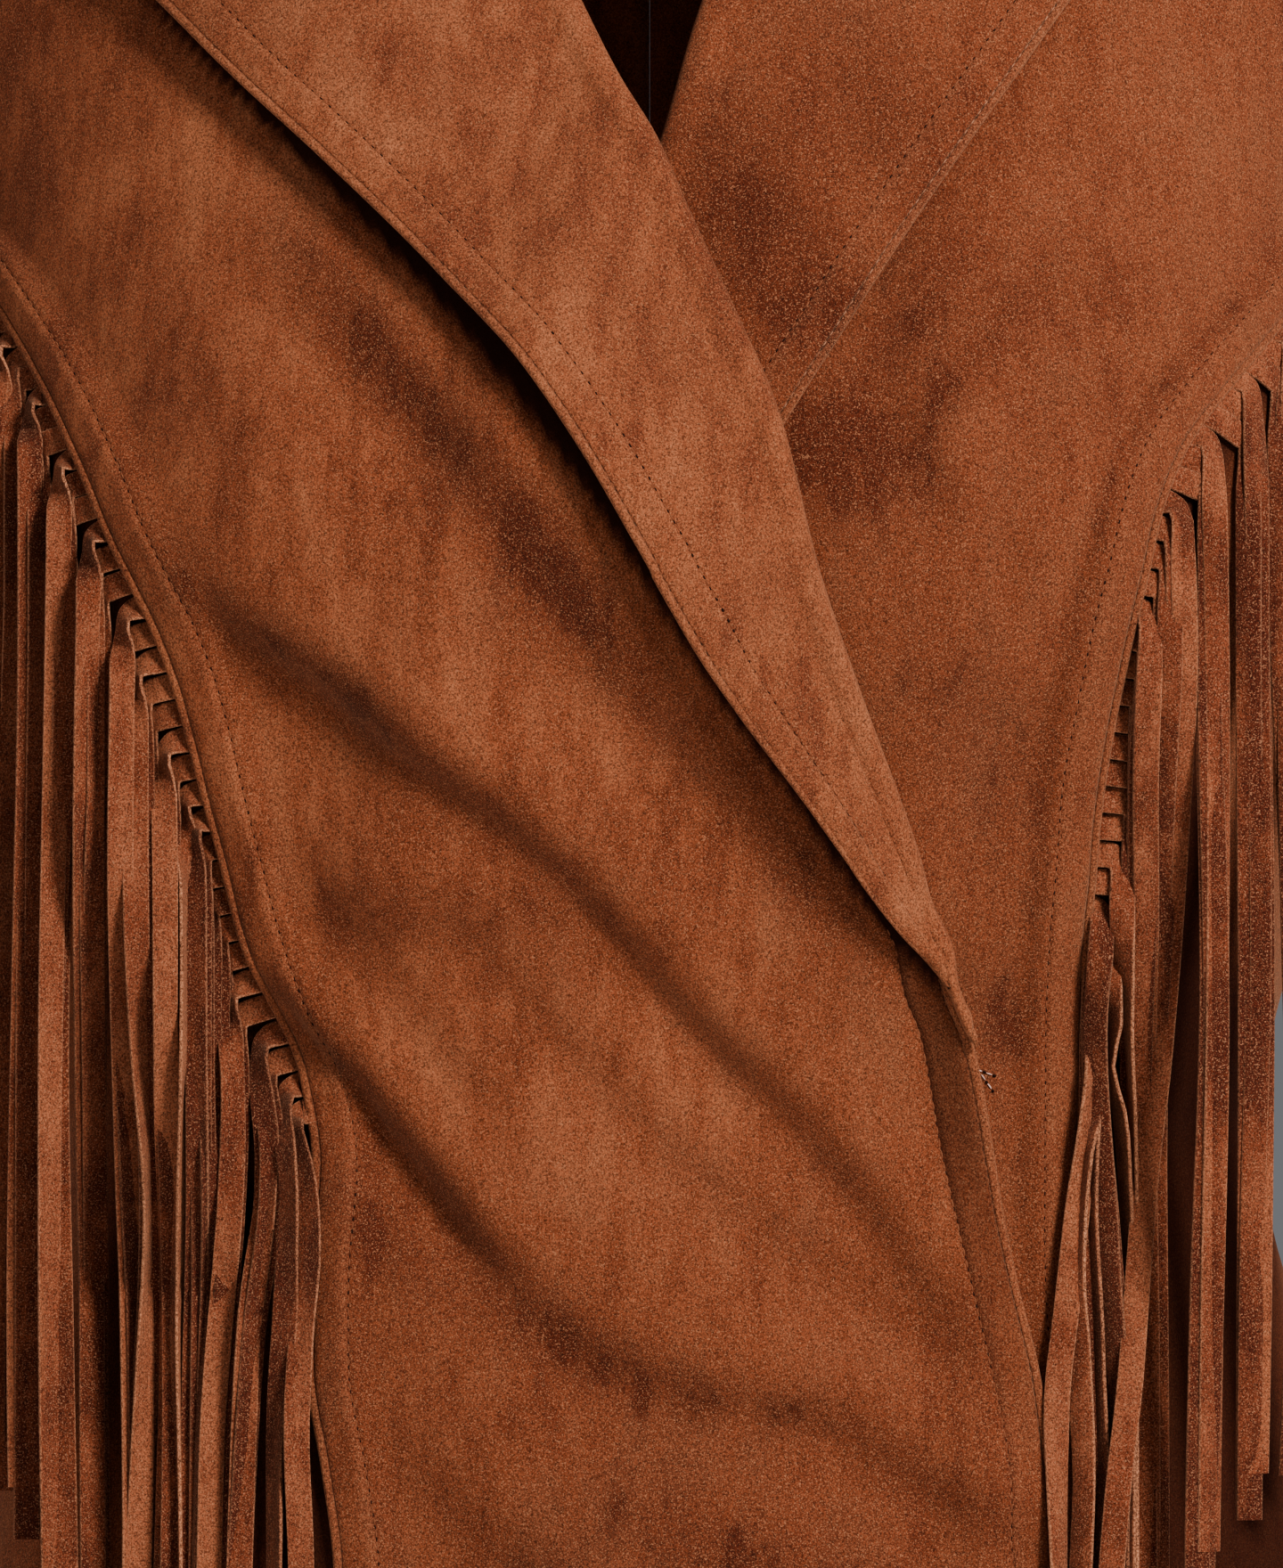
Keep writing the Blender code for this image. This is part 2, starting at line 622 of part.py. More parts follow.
def make_fringe(side, name, ground, material):
    """A comb of strands: a narrow strip beside the princess seam, and strands that bend over and hang."""
    seam = even_steps(princess_line(side), LOW_ROWS)
    z = np.linspace(FRINGE_TOP, FRINGE_END, 900)
    x = np.interp(-z, -seam[:, 2], np.abs(seam[:, 0]))
    line = on_front(x, z)
    way = np.concatenate([[0], np.cumsum(np.linalg.norm(np.diff(line, axis=0), axis=1))])
    count = int((way[-1] - STRAND_WIDE) // PITCH) + 1

    def along(s):
        return np.array([np.interp(s, way, line[:, k]) for k in range(3)])

    def strip_point(s, reach):
        here = along(s)
        tangent = along(s + 1.5) - along(s - 1.5)
        perp = unit(np.array([-tangent[2], 0, tangent[0]]))
        spot = on_front(here[0] + perp[0] * reach, here[2] + perp[2] * reach)
        off = STRIP_OFF
        if side < 0:
            off = off + float(right_lift(spot * [side, 1, 1]))
        return (spot + outward(spot[None])[0] * off) * [side, 1, 1], spot, perp

    middles = STRAND_WIDE / 2 + PITCH * np.arange(count)
    starts = np.array([along(s) for s in middles])
    reach = starts[:, 0] + REACH
    for k in range(count - 2, -1, -1):
        reach[k] = max(reach[k + 1] + LEAST_STEP, reach[k])
    roots = (reach[::-1], starts[::-1, 2])
    points, faces = [], []
    last = None
    for k, s in enumerate(middles):
        corners = []
        for at in (s - STRAND_WIDE / 2, s + STRAND_WIDE / 2):
            for out in (STRIP_GAP, STRIP_GAP + STRIP_WIDE):
                points.append(strip_point(at, out)[0])
                corners.append(len(points) - 1)
        faces.append((corners[0], corners[2], corners[3], corners[1]))
        if last is not None:
            faces.append((last[2], corners[0], corners[1], last[3]))
        last = corners
        spot, perp = strip_point(s, STRIP_GAP + STRIP_WIDE)[1:]
        length = STRAND_LONG + 5 * np.sin(2.3 * k)
        layer = STRIP_OFF + 0.9 + LAYER * (k % LAYERS)
        pairs = strand_lines(side, roots, reach[k], spot[2], spot[0], perp[[0, 2]], layer, length)
        upper, lower = corners[1], corners[3]
        for high, low in pairs:
            points += [high, low]
            faces.append((upper, lower, len(points) - 1, len(points) - 2))
            upper, lower = len(points) - 2, len(points) - 1
    points = ground.clear(np.array(points), CLOTH / 2 + 1.2 + STRAND_THICK / 2)
    return sheet(name, points, faces, STRAND_THICK, material)


def build():
    clear_scene()
    group = bpy.data.collections.new("Fringed buckskin jacket")
    bpy.context.scene.collection.children.link(group)
    panels = []
    for side, name in ((-1, "right"), (1, "left")):
        front, back = front_grid(side), back_grid(side)
        panels += [front, back]
        lapel = lapel_grid(side, front, Ground([front]))
        cloth("front_" + name, front, CLOTH, suede("front_" + name, (0.27, 0.08, 0.03)))
        cloth("back_" + name, back, CLOTH, suede("back_" + name, (0.25, 0.075, 0.03)))
        cloth("lapel_" + name, lapel, FACED, suede("lapel_" + name, (0.33, 0.11, 0.045)))
        side_front = side_front_grid(side)
        cloth("side_front_" + name, side_front, CLOTH, suede("side_front_" + name, (0.22, 0.06, 0.025)))
        sleeve = suede("sleeve_" + name, (0.26, 0.08, 0.03))
        cloth("sleeve_" + name, sleeve_grid(side), CLOTH, sleeve, around=True)
        fringe = suede("fringe_" + name, (0.24, 0.065, 0.03))
        make_fringe(side, "fringe_" + name, Ground([side_front]), fringe)
    cloth("collar", collar_grid(Ground(panels)), FACED, suede("collar", (0.33, 0.11, 0.045)))


build()
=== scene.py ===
"""The looks of a fringed buckskin jacket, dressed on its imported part.

Tables and constants are in millimetres and become metres when a mesh is made. +Z is up, the jacket faces
-Y and the wearer's left is +X. Side is -1 for the wearer's right and +1 for the wearer's left.
"""

import math

import bpy
import numpy as np
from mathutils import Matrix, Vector
from mathutils.bvhtree import BVHTree


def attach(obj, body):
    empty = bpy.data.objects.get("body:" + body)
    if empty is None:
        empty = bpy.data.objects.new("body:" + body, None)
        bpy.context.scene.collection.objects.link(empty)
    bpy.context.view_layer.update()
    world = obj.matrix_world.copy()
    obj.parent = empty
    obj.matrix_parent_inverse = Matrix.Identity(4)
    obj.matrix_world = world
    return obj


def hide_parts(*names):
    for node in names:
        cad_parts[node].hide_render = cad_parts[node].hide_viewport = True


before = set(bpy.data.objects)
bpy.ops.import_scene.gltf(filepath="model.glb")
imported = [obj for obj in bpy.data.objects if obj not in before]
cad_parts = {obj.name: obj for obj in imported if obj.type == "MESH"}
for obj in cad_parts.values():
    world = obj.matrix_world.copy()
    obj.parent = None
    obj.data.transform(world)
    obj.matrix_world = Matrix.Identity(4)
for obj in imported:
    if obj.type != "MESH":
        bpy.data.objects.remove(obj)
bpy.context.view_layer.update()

MM = 0.001

# Cloth
CLOTH = 1.6  # wall of the body panels and the sleeves
FACED = 2.0  # wall of the lapels and the collar, which are faced
SEAM = 0.06  # between two pieces sewn edge to edge
SHOULDER_TRIM = 0.15  # how far each piece stops short of the shoulder seam
PLY = 1.0  # between two pieces that lie on each other
PANEL_LIFT = 2.8  # how much further out the right front lies where the left one is beneath it
LAPEL_LIFT = 3.8  # and how much more where the left lapel is
ROLL_BACK = 2.6  # how far a front's edge lies inside the roll of its lapel
ROLL = 8.0  # how far a rolled edge takes to go round
SOFT_EDGE = 0.9  # how far in from a cut edge the wall is full

# Shape of the cut
HEM_Z = -600.0
NECK_X, TIP_X, TIP_Z = 72.0, 195.0, -45.0  # ends of the shoulder seam
BACK_NECK_DROP = 14.0
ARM_Y, ARM_Z, ARM_HIGH = 0.0, -128.5, 83.5  # middle and half height of the armhole
ARM_DEEP = 60.0  # half width of the armhole
ARM_HOLE_X = 170.0  # about how far out its middle is
PRINCESS_Z = -187.0  # where the princess seam leaves the armhole
BUST = 0.055  # how much the bust stands out, as a share of the front's depth
BUST_X, BUST_DEPTH, BUST_WIDE, BUST_HIGH = 92, 262, 46, 58  # its middle and its half sizes
LAP = 6.0  # how far the side front reaches under the front's seam edge
SEAM_RISE = 2.8  # how far the front's seam edge stands up over the side front
BAND, BAND_END = 9.6, 16.0  # the raised seam edge, and where its rise has died away
SEAM_FROM = -188.0  # height below which the front's seam edge is raised and stitched
FREE_FROM = -350.0  # height below which its free edge is stitched, just above the end of the lapel

# Topstitching: two rows beside each stitched edge
EDGE_ROW, INNER_ROW = 2.0, 10.0
CURL = 3.4  # how far the front's edge turns up just below its lapel
STITCH_PITCH, STITCH_LONG, STITCH_THICK = 2.8, 1.7, 0.36
HOLE_LONG, HOLE_WIDE = 0.50, 0.34
HEM_ROW = 22.0  # above the hem
CUFF_ROWS = (20.0, 3.0)  # above the cuff

# Points beside a stitched edge, counted in from it
EDGE_STEPS = np.array(
    [
        0, 0.35, 0.8, 1.3, 1.7, 2.0, 2.3, 2.8, 3.6, 4.6, 5.8, 7.0, 8.1, 9.0, 9.6, 10.0, 10.4, 11.0, 12.0,
        13.5, 16,
    ]
)
EDGE_AT = int(np.argmin(np.abs(EDGE_STEPS - EDGE_ROW)))
INNER_AT = int(np.argmin(np.abs(EDGE_STEPS - INNER_ROW)))
HIGH_ROWS, LOW_ROWS, UNDERARM_STEPS = 66, 170, 34

# Fringe
PITCH, STRAND_WIDE, STRAND_THICK = 6.4, 6.0, 0.9
STRAND_ROOT = 6.42
STRAND_LONG = 255.0
ROOT_OFF = CLOTH + 0.75  # from the body to the middle of a strand where it is sewn in
FRINGE_TOP, FRINGE_END = -212.0, -402.0
FRINGE_FIRST = 5.2 / 2  # from the top of the fringe to the middle of the first strand

# Body rings: depth below the origin, half width, front depth, back depth, squareness
BODY = np.array(
    [
        (-12, 40, 46, 58, 2.0),
        (0, 72, 62, 72, 2.0),
        (15, 113, 78, 86, 1.85),
        (30, 154, 88, 96, 1.75),
        (45, 195, 94, 103, 1.75),
        (80, 192, 101, 110, 1.95),
        (130, 179, 111, 115, 2.2),
        (215, 168, 127, 112, 2.4),
        (265, 170, 134, 108, 2.4),
        (340, 155, 121, 101, 2.35),
        (405, 142, 108, 96, 2.35),
        (470, 156, 113, 108, 2.35),
        (560, 178, 122, 122, 2.3),
        (600, 186, 126, 128, 2.3),
    ],
    float,
)

# Front edges: depth below the origin, distance to the wearer's left of the middle
EDGE_RIGHT = np.array(
    [
        (0, -72), (8, -70.5), (15, -69), (27, -65.5), (50, -58), (75, -48.5), (100, -38.5), (124, -27.5),
        (148.6, -16), (169.6, -6), (182.8, 1.8), (197, 8), (221, 18.8), (245, 29), (277, 37.6), (304.6, 47),
        (330, 56.2), (353.6, 63.5), (368.6, 66), (379.6, 69.8), (408.6, 74.4), (438, 80.2), (461.4, 86),
        (479, 88.4), (500.6, 90.2), (560, 97), (600, 101),
    ],
    float,
)
EDGE_LEFT = np.array(
    [
        (0, 72), (8, 70.5), (15, 69), (27, 65.5), (50, 56.5), (75, 46), (100, 35), (124, 24), (148.6, 12),
        (182.8, 1.6), (205, -8), (235, -20), (265, -31), (300, -40), (330, -46), (352, -50), (400, -52),
        (470, -54), (560, -58), (600, -62),
    ],
    float,
)

# Princess seams: depth below the origin, distance from the middle
PRINCESS_RIGHT = np.array(
    [
        (187, 165), (200, 157), (216, 147), (238, 134.5), (255, 126.5), (272.4, 119.2), (288, 112.2),
        (304.6, 106.4), (338.6, 96.8), (358.8, 91.5), (374.8, 85.5), (391.6, 79.5), (414.8, 75.5),
        (440, 76.3), (457, 76.3), (480, 73), (500.6, 70.2), (560, 67.5), (600, 68),
    ],
    float,
)
PRINCESS_LEFT = np.array(
    [
        (187, 165), (200, 156.5), (216, 145), (235, 129.5), (250, 119), (263, 113.4), (276, 110.2),
        (291, 106.8), (309, 103.6), (324, 101), (344, 99.2), (361, 98), (390, 97.2), (405, 97), (440, 97.6),
        (470, 99), (500, 101.5), (560, 108), (600, 113),
    ],
    float,
)

# Lapels: depth of the roll line, then the outer edge across from it (sideways, depth), then how far that
# edge stands off the front
LAPEL_RIGHT = np.array(
    [
        (27, -136, 117, 3), (50, -127.5, 127, 4), (75, -117, 139, 5), (100, -104, 153, 6),
        (124, -90, 168, 7), (148.6, -72, 186, 7.5), (182.8, -50, 209, 7.5), (209, -32.5, 229.5, 7.5),
        (232.6, -16, 252, 7), (257.6, -2, 273, 6.5), (292, 15.6, 301, 5.5), (318.6, 34, 326.6, 4.5),
        (338, 46.5, 345.5, 3.6), (350, 54.6, 356, 3.0), (360, 60.6, 362.4, 2.2), (367, 64.6, 368.0, 1.2),
        (373, 67.0, 373.4, 0.6), (380, 69.2, 380.2, 0.2),
    ],
    float,
)
LAPEL_LEFT = np.array(
    [
        (27, 120, 110, 4), (50, 111.5, 121, 4.5), (75, 102, 135, 5), (100, 92.4, 148.6, 5),
        (124, 83, 162.6, 5), (148.6, 70, 182, 4.5), (183, 53, 208, 3.5), (209, 38, 232, 1),
        (232.6, 24, 254, 0.2), (257.6, 10, 276, 0), (292, -8, 303, 0), (318, -27, 326, 0),
        (338, -38.5, 343, 0),
    ],
    float,
)

# Collar's outer edge, from the notch to the middle of the back: share of the way round the neck, then a
# point near the edge (sideways, back, up), then the height of the stand there
NOTCH = 0.58  # along the gorge, from the roll line to the lapel's point
COLLAR = np.array(
    [
        (0.10, 140, -60, -64, 5), (0.22, 141, -32, -42, 15), (0.36, 130, 6, -22, 23),
        (0.50, 119, 50, -27, 27), (0.65, 95, 82, -36, 29), (0.82, 52, 102, -44, 30), (1.00, 0, 109, -48, 30),
    ],
    float,
)

# Sleeve rings down the arm: sideways, forward and down to the middle, half width, half depth
ARM = np.array(
    [
        (241, -4, -236, 57, 64), (257, -4, -305, 54, 61), (272, -5, -375, 51, 57), (286, -9, -440, 49, 54),
        (298, -16, -505, 47, 51), (308, -25, -568, 45, 48), (316, -35, -630, 44, 46),
    ],
    float,
)
ARM_HOLE_SHIFT = 1.4  # from the armhole's edge to the middle of the sleeve's wall
CAP_LEAVES = np.array([0.82, 0, -0.50])  # which way a sleeve leaves the armhole at the top
UNDERARM_LEAVES = np.array([0.45, 0, -0.75])  # and underneath
# The sleeve's seam allowance, tucked in under the body: into the armhole from its edge, and out of the body
ALLOWANCE = ((-3.0, -2.2), (0.1, -2.3), (1.4, -1.1))
TUCKED_ROWS = 11  # how many of the sleeve's rows that takes

# Folds. Each has its height (a trough is below 0), its width on the upper side and on the lower side, and
# the path of its bottom or crest: on the body (wearer's left, depth), on a sleeve (round from the top by
# way of the front, depth). Each dies away towards both ends.
FRONT_FOLDS = (
    (-3.2, 9, 17, (
        (-84, 190), (-67, 221), (-43, 248), (-19, 279), (2, 307), (26, 334), (50, 357), (66, 374),
    )),
    (-5.0, 5.8, 20, (
        (-122, 243), (-101.4, 282.6), (-77.2, 299.8), (-53.2, 317), (-29.2, 334.2), (-8.6, 354.8),
        (12, 378.8), (32.6, 399.4), (49.8, 420), (63.6, 440.6), (80, 462), (100, 488),
    )),
    (-2.2, 6, 13, (
        (-64, 328), (-50, 345), (-25.8, 372), (1.8, 402.8), (32.6, 427), (60.2, 447.6), (88, 474),
    )),
    (-5.8, 4.4, 16, (
        (-90, 358), (-80.8, 372), (-70, 386), (-60, 399.4), (-48, 415), (-36, 430.4), (-22, 445),
    )),
    (-3.8, 6.5, 17, (
        (-46, 424), (-26, 443), (-8.6, 454.4), (12, 461.2), (39.6, 468.2), (67, 485.4), (104, 512),
    )),
    (-1.6, 7, 13, ((-84, 330), (-66, 352), (-44, 384), (-24, 410))),
    (-2.6, 9, 15, ((-66, 462), (-46, 484), (-20, 508), (14, 524), (50, 540))),
    (-2.2, 12, 14, ((-62, 515), (-40, 545), (-18, 570), (6, 590))),
    (-2.0, 7, 10, ((66, 188), (58, 214), (50, 240))),
    (-1.8, 6, 9, ((52, 226), (62, 250), (72, 272))),
    (-2.2, 9, 12, ((92, 300), (82, 330), (78, 362))),
    (-1.4, 7, 9, ((96, 232), (86, 262), (84, 292))),
    (-2.0, 9, 12, ((140, 400), (124, 416), (108, 428))),
    (-1.6, 9, 12, ((-140, 392), (-122, 404), (-104, 418))),
    (-2.4, 11, 13, ((120, 470), (112, 520), (116, 580))),
)
BACK_FOLDS = (
    (-6.5, 9, 13, ((-130, 360), (-96, 378), (-60, 392), (-24, 398))),
    (-7.1, 9, 14, ((128, 372), (92, 386), (52, 398), (12, 404))),
    (-4.7, 8, 12, ((-120, 420), (-84, 428), (-44, 432))),
    (-5.3, 9, 12, ((110, 432), (74, 436), (36, 430))),
    (-4.7, 12, 12, ((-84, 470), (-92, 520), (-98, 585))),
    (-4.0, 12, 14, ((70, 480), (80, 530), (90, 590))),
    (-4.0, 11, 14, ((-118, 120), (-98, 180), (-88, 250), (-84, 310))),
    (-4.3, 12, 13, ((122, 130), (104, 190), (90, 262))),
    (3.1, 15, 15, ((-60, 150), (-52, 230), (-50, 300))),
    (2.8, 15, 15, ((58, 160), (50, 220), (46, 290))),
)
SLEEVE_FOLDS = (
    (-10.2, 8, 12, ((70, 330), (95, 352), (120, 366), (150, 374))),
    (-11.1, 8, 13, ((60, 392), (90, 384), (122, 378), (155, 384))),
    (-8.4, 8, 12, ((84, 424), (112, 410), (140, 404))),
    (-7.5, 9, 12, ((40, 150), (60, 190), (84, 226), (110, 250))),
    (-7.1, 9, 13, ((300, 160), (285, 200), (262, 240), (236, 268))),
    (-7.1, 9, 12, ((230, 350), (260, 366), (292, 372))),
    (-7.9, 9, 13, ((215, 410), (246, 402), (280, 396), (310, 400))),
    (-6.0, 10, 14, ((60, 480), (84, 504), (112, 520))),
    (-6.4, 9, 13, ((240, 520), (262, 545), (290, 560))),
    (-5.6, 9, 12, ((100, 560), (124, 580), (150, 592))),
    (3.1, 14, 14, ((330, 120), (340, 200), (345, 290), (340, 380))),
    (2.8, 14, 14, ((20, 130), (16, 220), (10, 320))),
)

# Darker, brushed places in the nap: middle (wearer's left, depth), half length, half width, lean in degrees
# from upright towards the wearer's left going down, strength
NAP_FRONT = (
    (-60, 232, 30, 9, 40, 0.60),
    (-30, 264, 32, 10, 40, 0.66),
    (-6, 296, 26, 9, 40, 0.50),
    (-74, 205, 26, 12, 34, 0.40),
    (-96, 285, 24, 9, 50, 0.45),
    (-66, 306, 24, 8, 52, 0.40),
    (-104, 222, 30, 12, 14, 0.18),
    (-52, 352, 14, 6, 40, 0.18),
    (-2, 342, 22, 8, 46, 0.34),
    (36, 345, 30, 9, 42, 0.34),
    (37, 249, 15, 10, 20, 0.62),
    (50, 232, 22, 7, -42, 0.24),
    (56, 258, 24, 12, 40, 0.24),
    (74, 227, 24, 5, -40, 0.34),
    (64, 214, 16, 6, -38, 0.20),
    (-30, 287, 18, 13, 40, 0.42),
    (-20, 359, 20, 10, 40, 0.36),
    (-47, 331, 20, 8, 40, 0.20),
    (5, 512, 50, 60, 60, 0.24),
    (40, 556, 60, 60, 0, 0.2),
    (64, 300, 22, 11, 14, 0.34),
    (80, 380, 30, 7, 4, 0.25),
    (-64, 424, 22, 8, 36, 0.36),
    (-18, 452, 26, 9, 60, 0.36),
    (20, 500, 34, 9, 60, 0.26),
    (-70, 470, 40, 7, 8, 0.26),
)
NAP_LAPEL = (
    (22, 196, 30, 13, 22, 0.55),
    (36, 216, 20, 10, 34, 0.45),
    (56, 176, 30, 12, 40, 0.22),
    (-96, 150, 22, 14, 44, 0.26),
    (-50, 166, 26, 9, 50, 0.20),
    (0, 222, 26, 8, 42, 0.20),
    (30, 284, 24, 7, 40, 0.16),
    (-110, 100, 30, 14, 20, 0.25),
    (110, 100, 30, 14, -20, 0.25),
)
# The thread tack on the left front: rows of places (wearer's left, depth)
TACK = (
    ((74.6, 389.6), (76.9, 390.4)),
    ((75.6, 391.2), (77.0, 393.2)),
)
SEAM_SHADE = 0.30  # how much shade is painted into the nap along the inside of a stitched band
FRONT_NAP = {-1: 0.0, 1: 0.08}  # how far each front is brushed down all over
LAPEL_NAP = {-1: 0.03, 1: 0.36}  # and each lapel
LAPEL_SHADE = {-1: 0.97, 1: 0.2}  # how deep the shade is under each lapel's edge
SEAM_ROW_SHADE = {-1: 0.34, 1: 0.0}  # and along the row of stitches at each seam edge


# ---------------------------------------------------------------------------------- sums


def curve_at(knots, values, slope, at):
    """The curve through the values at these rising knots with these slopes, at these places along it."""
    at = np.clip(np.asarray(at, float), knots[0], knots[-1])
    step = np.diff(knots)
    i = np.clip(np.searchsorted(knots, at, side="right") - 1, 0, len(step) - 1)
    shape = at.shape + (1,) * (values.ndim - 1)
    t = ((at - knots[i]) / step[i]).reshape(shape)
    h = step[i].reshape(shape)
    start = values[i] * (1 + 2 * t) * (1 - t) ** 2 + h * slope[i] * t * (1 - t) ** 2
    end = values[i + 1] * t * t * (3 - 2 * t) + h * slope[i + 1] * t * t * (t - 1)
    return start + end


def smooth(table, at):
    """The table's other columns at these values of its rising first column, with no overshoot."""
    knots, values = table[:, 0], table[:, 1:]
    rise = np.diff(values, axis=0) / np.diff(knots)[:, None]
    product = rise[:-1] * rise[1:]
    total = np.where(product > 0, rise[:-1] + rise[1:], 1.0)
    inner = np.where(product > 0, 2 * product / total, 0.0)
    return curve_at(knots, values, np.vstack([rise[:1], inner, rise[-1:]]), at)


def through(knots, values, at):
    """A flowing curve through the values at these rising knots; the values may be rows of any shape."""
    knots, values = np.asarray(knots, float), np.asarray(values, float)
    step = np.diff(knots).reshape((-1,) + (1,) * (values.ndim - 1))
    rise = np.diff(values, axis=0) / step
    inner = (step[1:] * rise[:-1] + step[:-1] * rise[1:]) / (step[:-1] + step[1:])
    return curve_at(knots, values, np.concatenate([rise[:1], inner, rise[-1:]]), at)


def ramp(value):
    """0 below 0, 1 above 1, and an S between them."""
    t = np.clip(value, 0, 1)
    return t * t * (3 - 2 * t)


def hump(value):
    return np.exp(-(value**2))


def unit(vectors):
    return vectors / np.maximum(np.linalg.norm(vectors, axis=-1, keepdims=True), 1e-12)


def along_face(vectors, out):
    """Unit vectors along the part of these that isn't along the ones that point out."""
    vectors = unit(vectors)
    return unit(vectors - out * np.sum(vectors * out, -1, keepdims=True))


def way_along(points):
    """How far each point of a line is along it."""
    return np.concatenate([[0], np.cumsum(np.linalg.norm(np.diff(points, axis=0), axis=1))])


def ways(grid, axis):
    """How far each point of a grid is down its column (axis 0) or across its row (axis 1)."""
    steps = np.linalg.norm(np.diff(grid, axis=axis), axis=-1)
    return np.cumsum(np.pad(steps, ((1, 0), (0, 0)) if axis == 0 else ((0, 0), (1, 0))), axis=axis)


def even_steps(points, count):
    """This many steps of equal length along a dense line of points."""
    way = way_along(points)
    at = np.linspace(0, way[-1], count + 1)
    return np.stack([np.interp(at, way, points[:, k]) for k in range(points.shape[1])], -1)


def finer(grid, at):
    """The grid with rows at these shares of the way down, on flowing curves through its own rows."""
    steps = np.linalg.norm(np.diff(grid, axis=0), axis=-1).mean(axis=1)
    knots = np.concatenate([[0], np.cumsum(steps)])
    return through(knots, grid, np.asarray(at) * knots[-1])


# ---------------------------------------------------------------------------------- body


def body_size(x, y, z):
    """Half width, depth on this side and squareness of the body's ring at these points."""
    wide, front, back, square = np.moveaxis(smooth(BODY, -z), -1, 0)
    aside, above = (np.abs(x) - BUST_X) / BUST_WIDE, (z + BUST_DEPTH) / BUST_HIGH
    bust = 1 + BUST * np.exp(-(aside**2) - above**2)
    return wide, np.where(y < 0, front * bust, back), square


def beyond(points):
    """0 on the body's surface, less inside it and more outside."""
    x, y, z = np.moveaxis(points, -1, 0)
    wide, deep, square = body_size(x, y, z)
    return (np.abs(x / wide) ** square + np.abs(y / deep) ** square) ** (1 / square) - 1


def seat(points):
    """The points moved along lines from inside the body until they lie on its surface."""
    x, y, z = np.moveaxis(points, -1, 0)
    inside = np.stack([0.75 * x, 0 * y, np.minimum(z, -130.0)], -1)
    low = np.full(x.shape, 0.2)
    high = np.full(x.shape, 2.5)
    for _ in range(36):
        middle = (low + high) / 2
        within = beyond(inside + middle[..., None] * (points - inside)) < 0
        low = np.where(within, middle, low)
        high = np.where(within, high, middle)
    return inside + low[..., None] * (points - inside)


def outward(points):
    """Unit vectors that point out of the body."""
    found = np.zeros_like(points)
    for axis in range(3):
        step = np.zeros(3)
        step[axis] = 0.4
        found[..., axis] = beyond(points + step) - beyond(points - step)
    return unit(found)


def on_front(x, z):
    """The points of the body's front at this distance sideways and this height."""
    x, z = np.broadcast_arrays(np.asarray(x, float), np.asarray(z, float))
    wide, deep, square = body_size(x, -1 + 0 * x, z)
    share = np.clip(1 - np.abs(x / wide) ** square, 0, 1)
    return np.stack([x, -deep * share ** (1 / square), z], -1)


def armhole(angles, side):
    """Points of the armhole at these angles: 0 at the top, 90 in front, 180 underneath, 270 behind."""
    turn = np.radians(np.asarray(angles, float))
    y = ARM_Y - ARM_DEEP * np.sin(turn)
    z = ARM_Z + ARM_HIGH * np.cos(turn)
    wide, deep, square = body_size(165 + 0 * y, y, z)
    x = wide * (1 - np.abs(y / deep) ** square) ** (1 / square)
    return np.stack([side * x, y, z], -1)


def armhole_turn():
    """The angle round the armhole where the princess seam leaves it."""
    return np.degrees(np.arccos((PRINCESS_Z - ARM_Z) / ARM_HIGH))


def armhole_steps(side, first, last, count):
    """This many steps of equal length round the armhole, between two angles."""
    return even_steps(armhole(np.linspace(first, last, 600), side), count)


def seam_x(side, z):
    """How far from the middle the princess seam is at this height."""
    table = PRINCESS_RIGHT if side < 0 else PRINCESS_LEFT
    return smooth(table, -np.asarray(z, float))[..., 0]


def princess_line(side, inwards=0.0):
    """The princess seam, or a line this far under the front's edge once it is clear of the armhole."""
    z = np.linspace(PRINCESS_Z, HEM_Z, 900)
    under = inwards * ramp((-214 - z) / 20)
    line = on_front(side * (seam_x(side, z) - under), z)
    line[0] = armhole([armhole_turn()], side)[0]
    return line


def front_edge(side):
    """The neck, roll line and free edge of a front, from the shoulder down."""
    edge = EDGE_RIGHT if side < 0 else EDGE_LEFT
    z = HEM_Z * np.linspace(0, 1, 2500) ** 2
    rolled = side * ROLL_BACK * ramp((-z - 10) / 30) * ramp((362 + z) / 14)
    return on_front(smooth(edge, -z)[:, 0] + rolled, z)


def part_at(line, z):
    """The line in two, cut at this height."""
    cut = int(np.argmax(line[:, 2] <= z))
    return line[: cut + 1], line[cut:]


def side_seam(side):
    """From the underarm straight down the side to the hem."""
    z = np.linspace(ARM_Z - ARM_HIGH, HEM_Z, 600)
    y = ARM_Y + 0 * z
    wide, deep, square = body_size(165 + 0 * z, y, z)
    return np.stack([side * wide * (1 - (y / deep) ** square) ** (1 / square), y, z], -1)


def right_lift(points):
    """How far the wearer's right side stands off the body to lie over the left front."""
    x, z = points[..., 0], points[..., 2]
    beneath = smooth(EDGE_LEFT, -z)[..., 0]
    outer = smooth(LAPEL_LEFT[:, [2, 1]], -z)[..., 0]
    over_panel = ramp((x - beneath + 56) / 50)
    over_lapel = ramp((x - beneath + 30) / 24) * ramp((outer + 28 - x) / 20)
    over_lapel = over_lapel * ramp((-140 - z) / 35) * ramp((z + 362) / 18)
    over_seam = ramp((x - seam_x(1, z) + 38) / 14) * ramp((-190 - z) / 30)
    return PANEL_LIFT * over_panel + LAPEL_LIFT * over_lapel + SEAM_RISE * over_seam


def no_lift(points):
    return 0 * points[..., 0]


def lift_of(side):
    return right_lift if side < 0 else no_lift


# ---------------------------------------------------------------------------------- folds


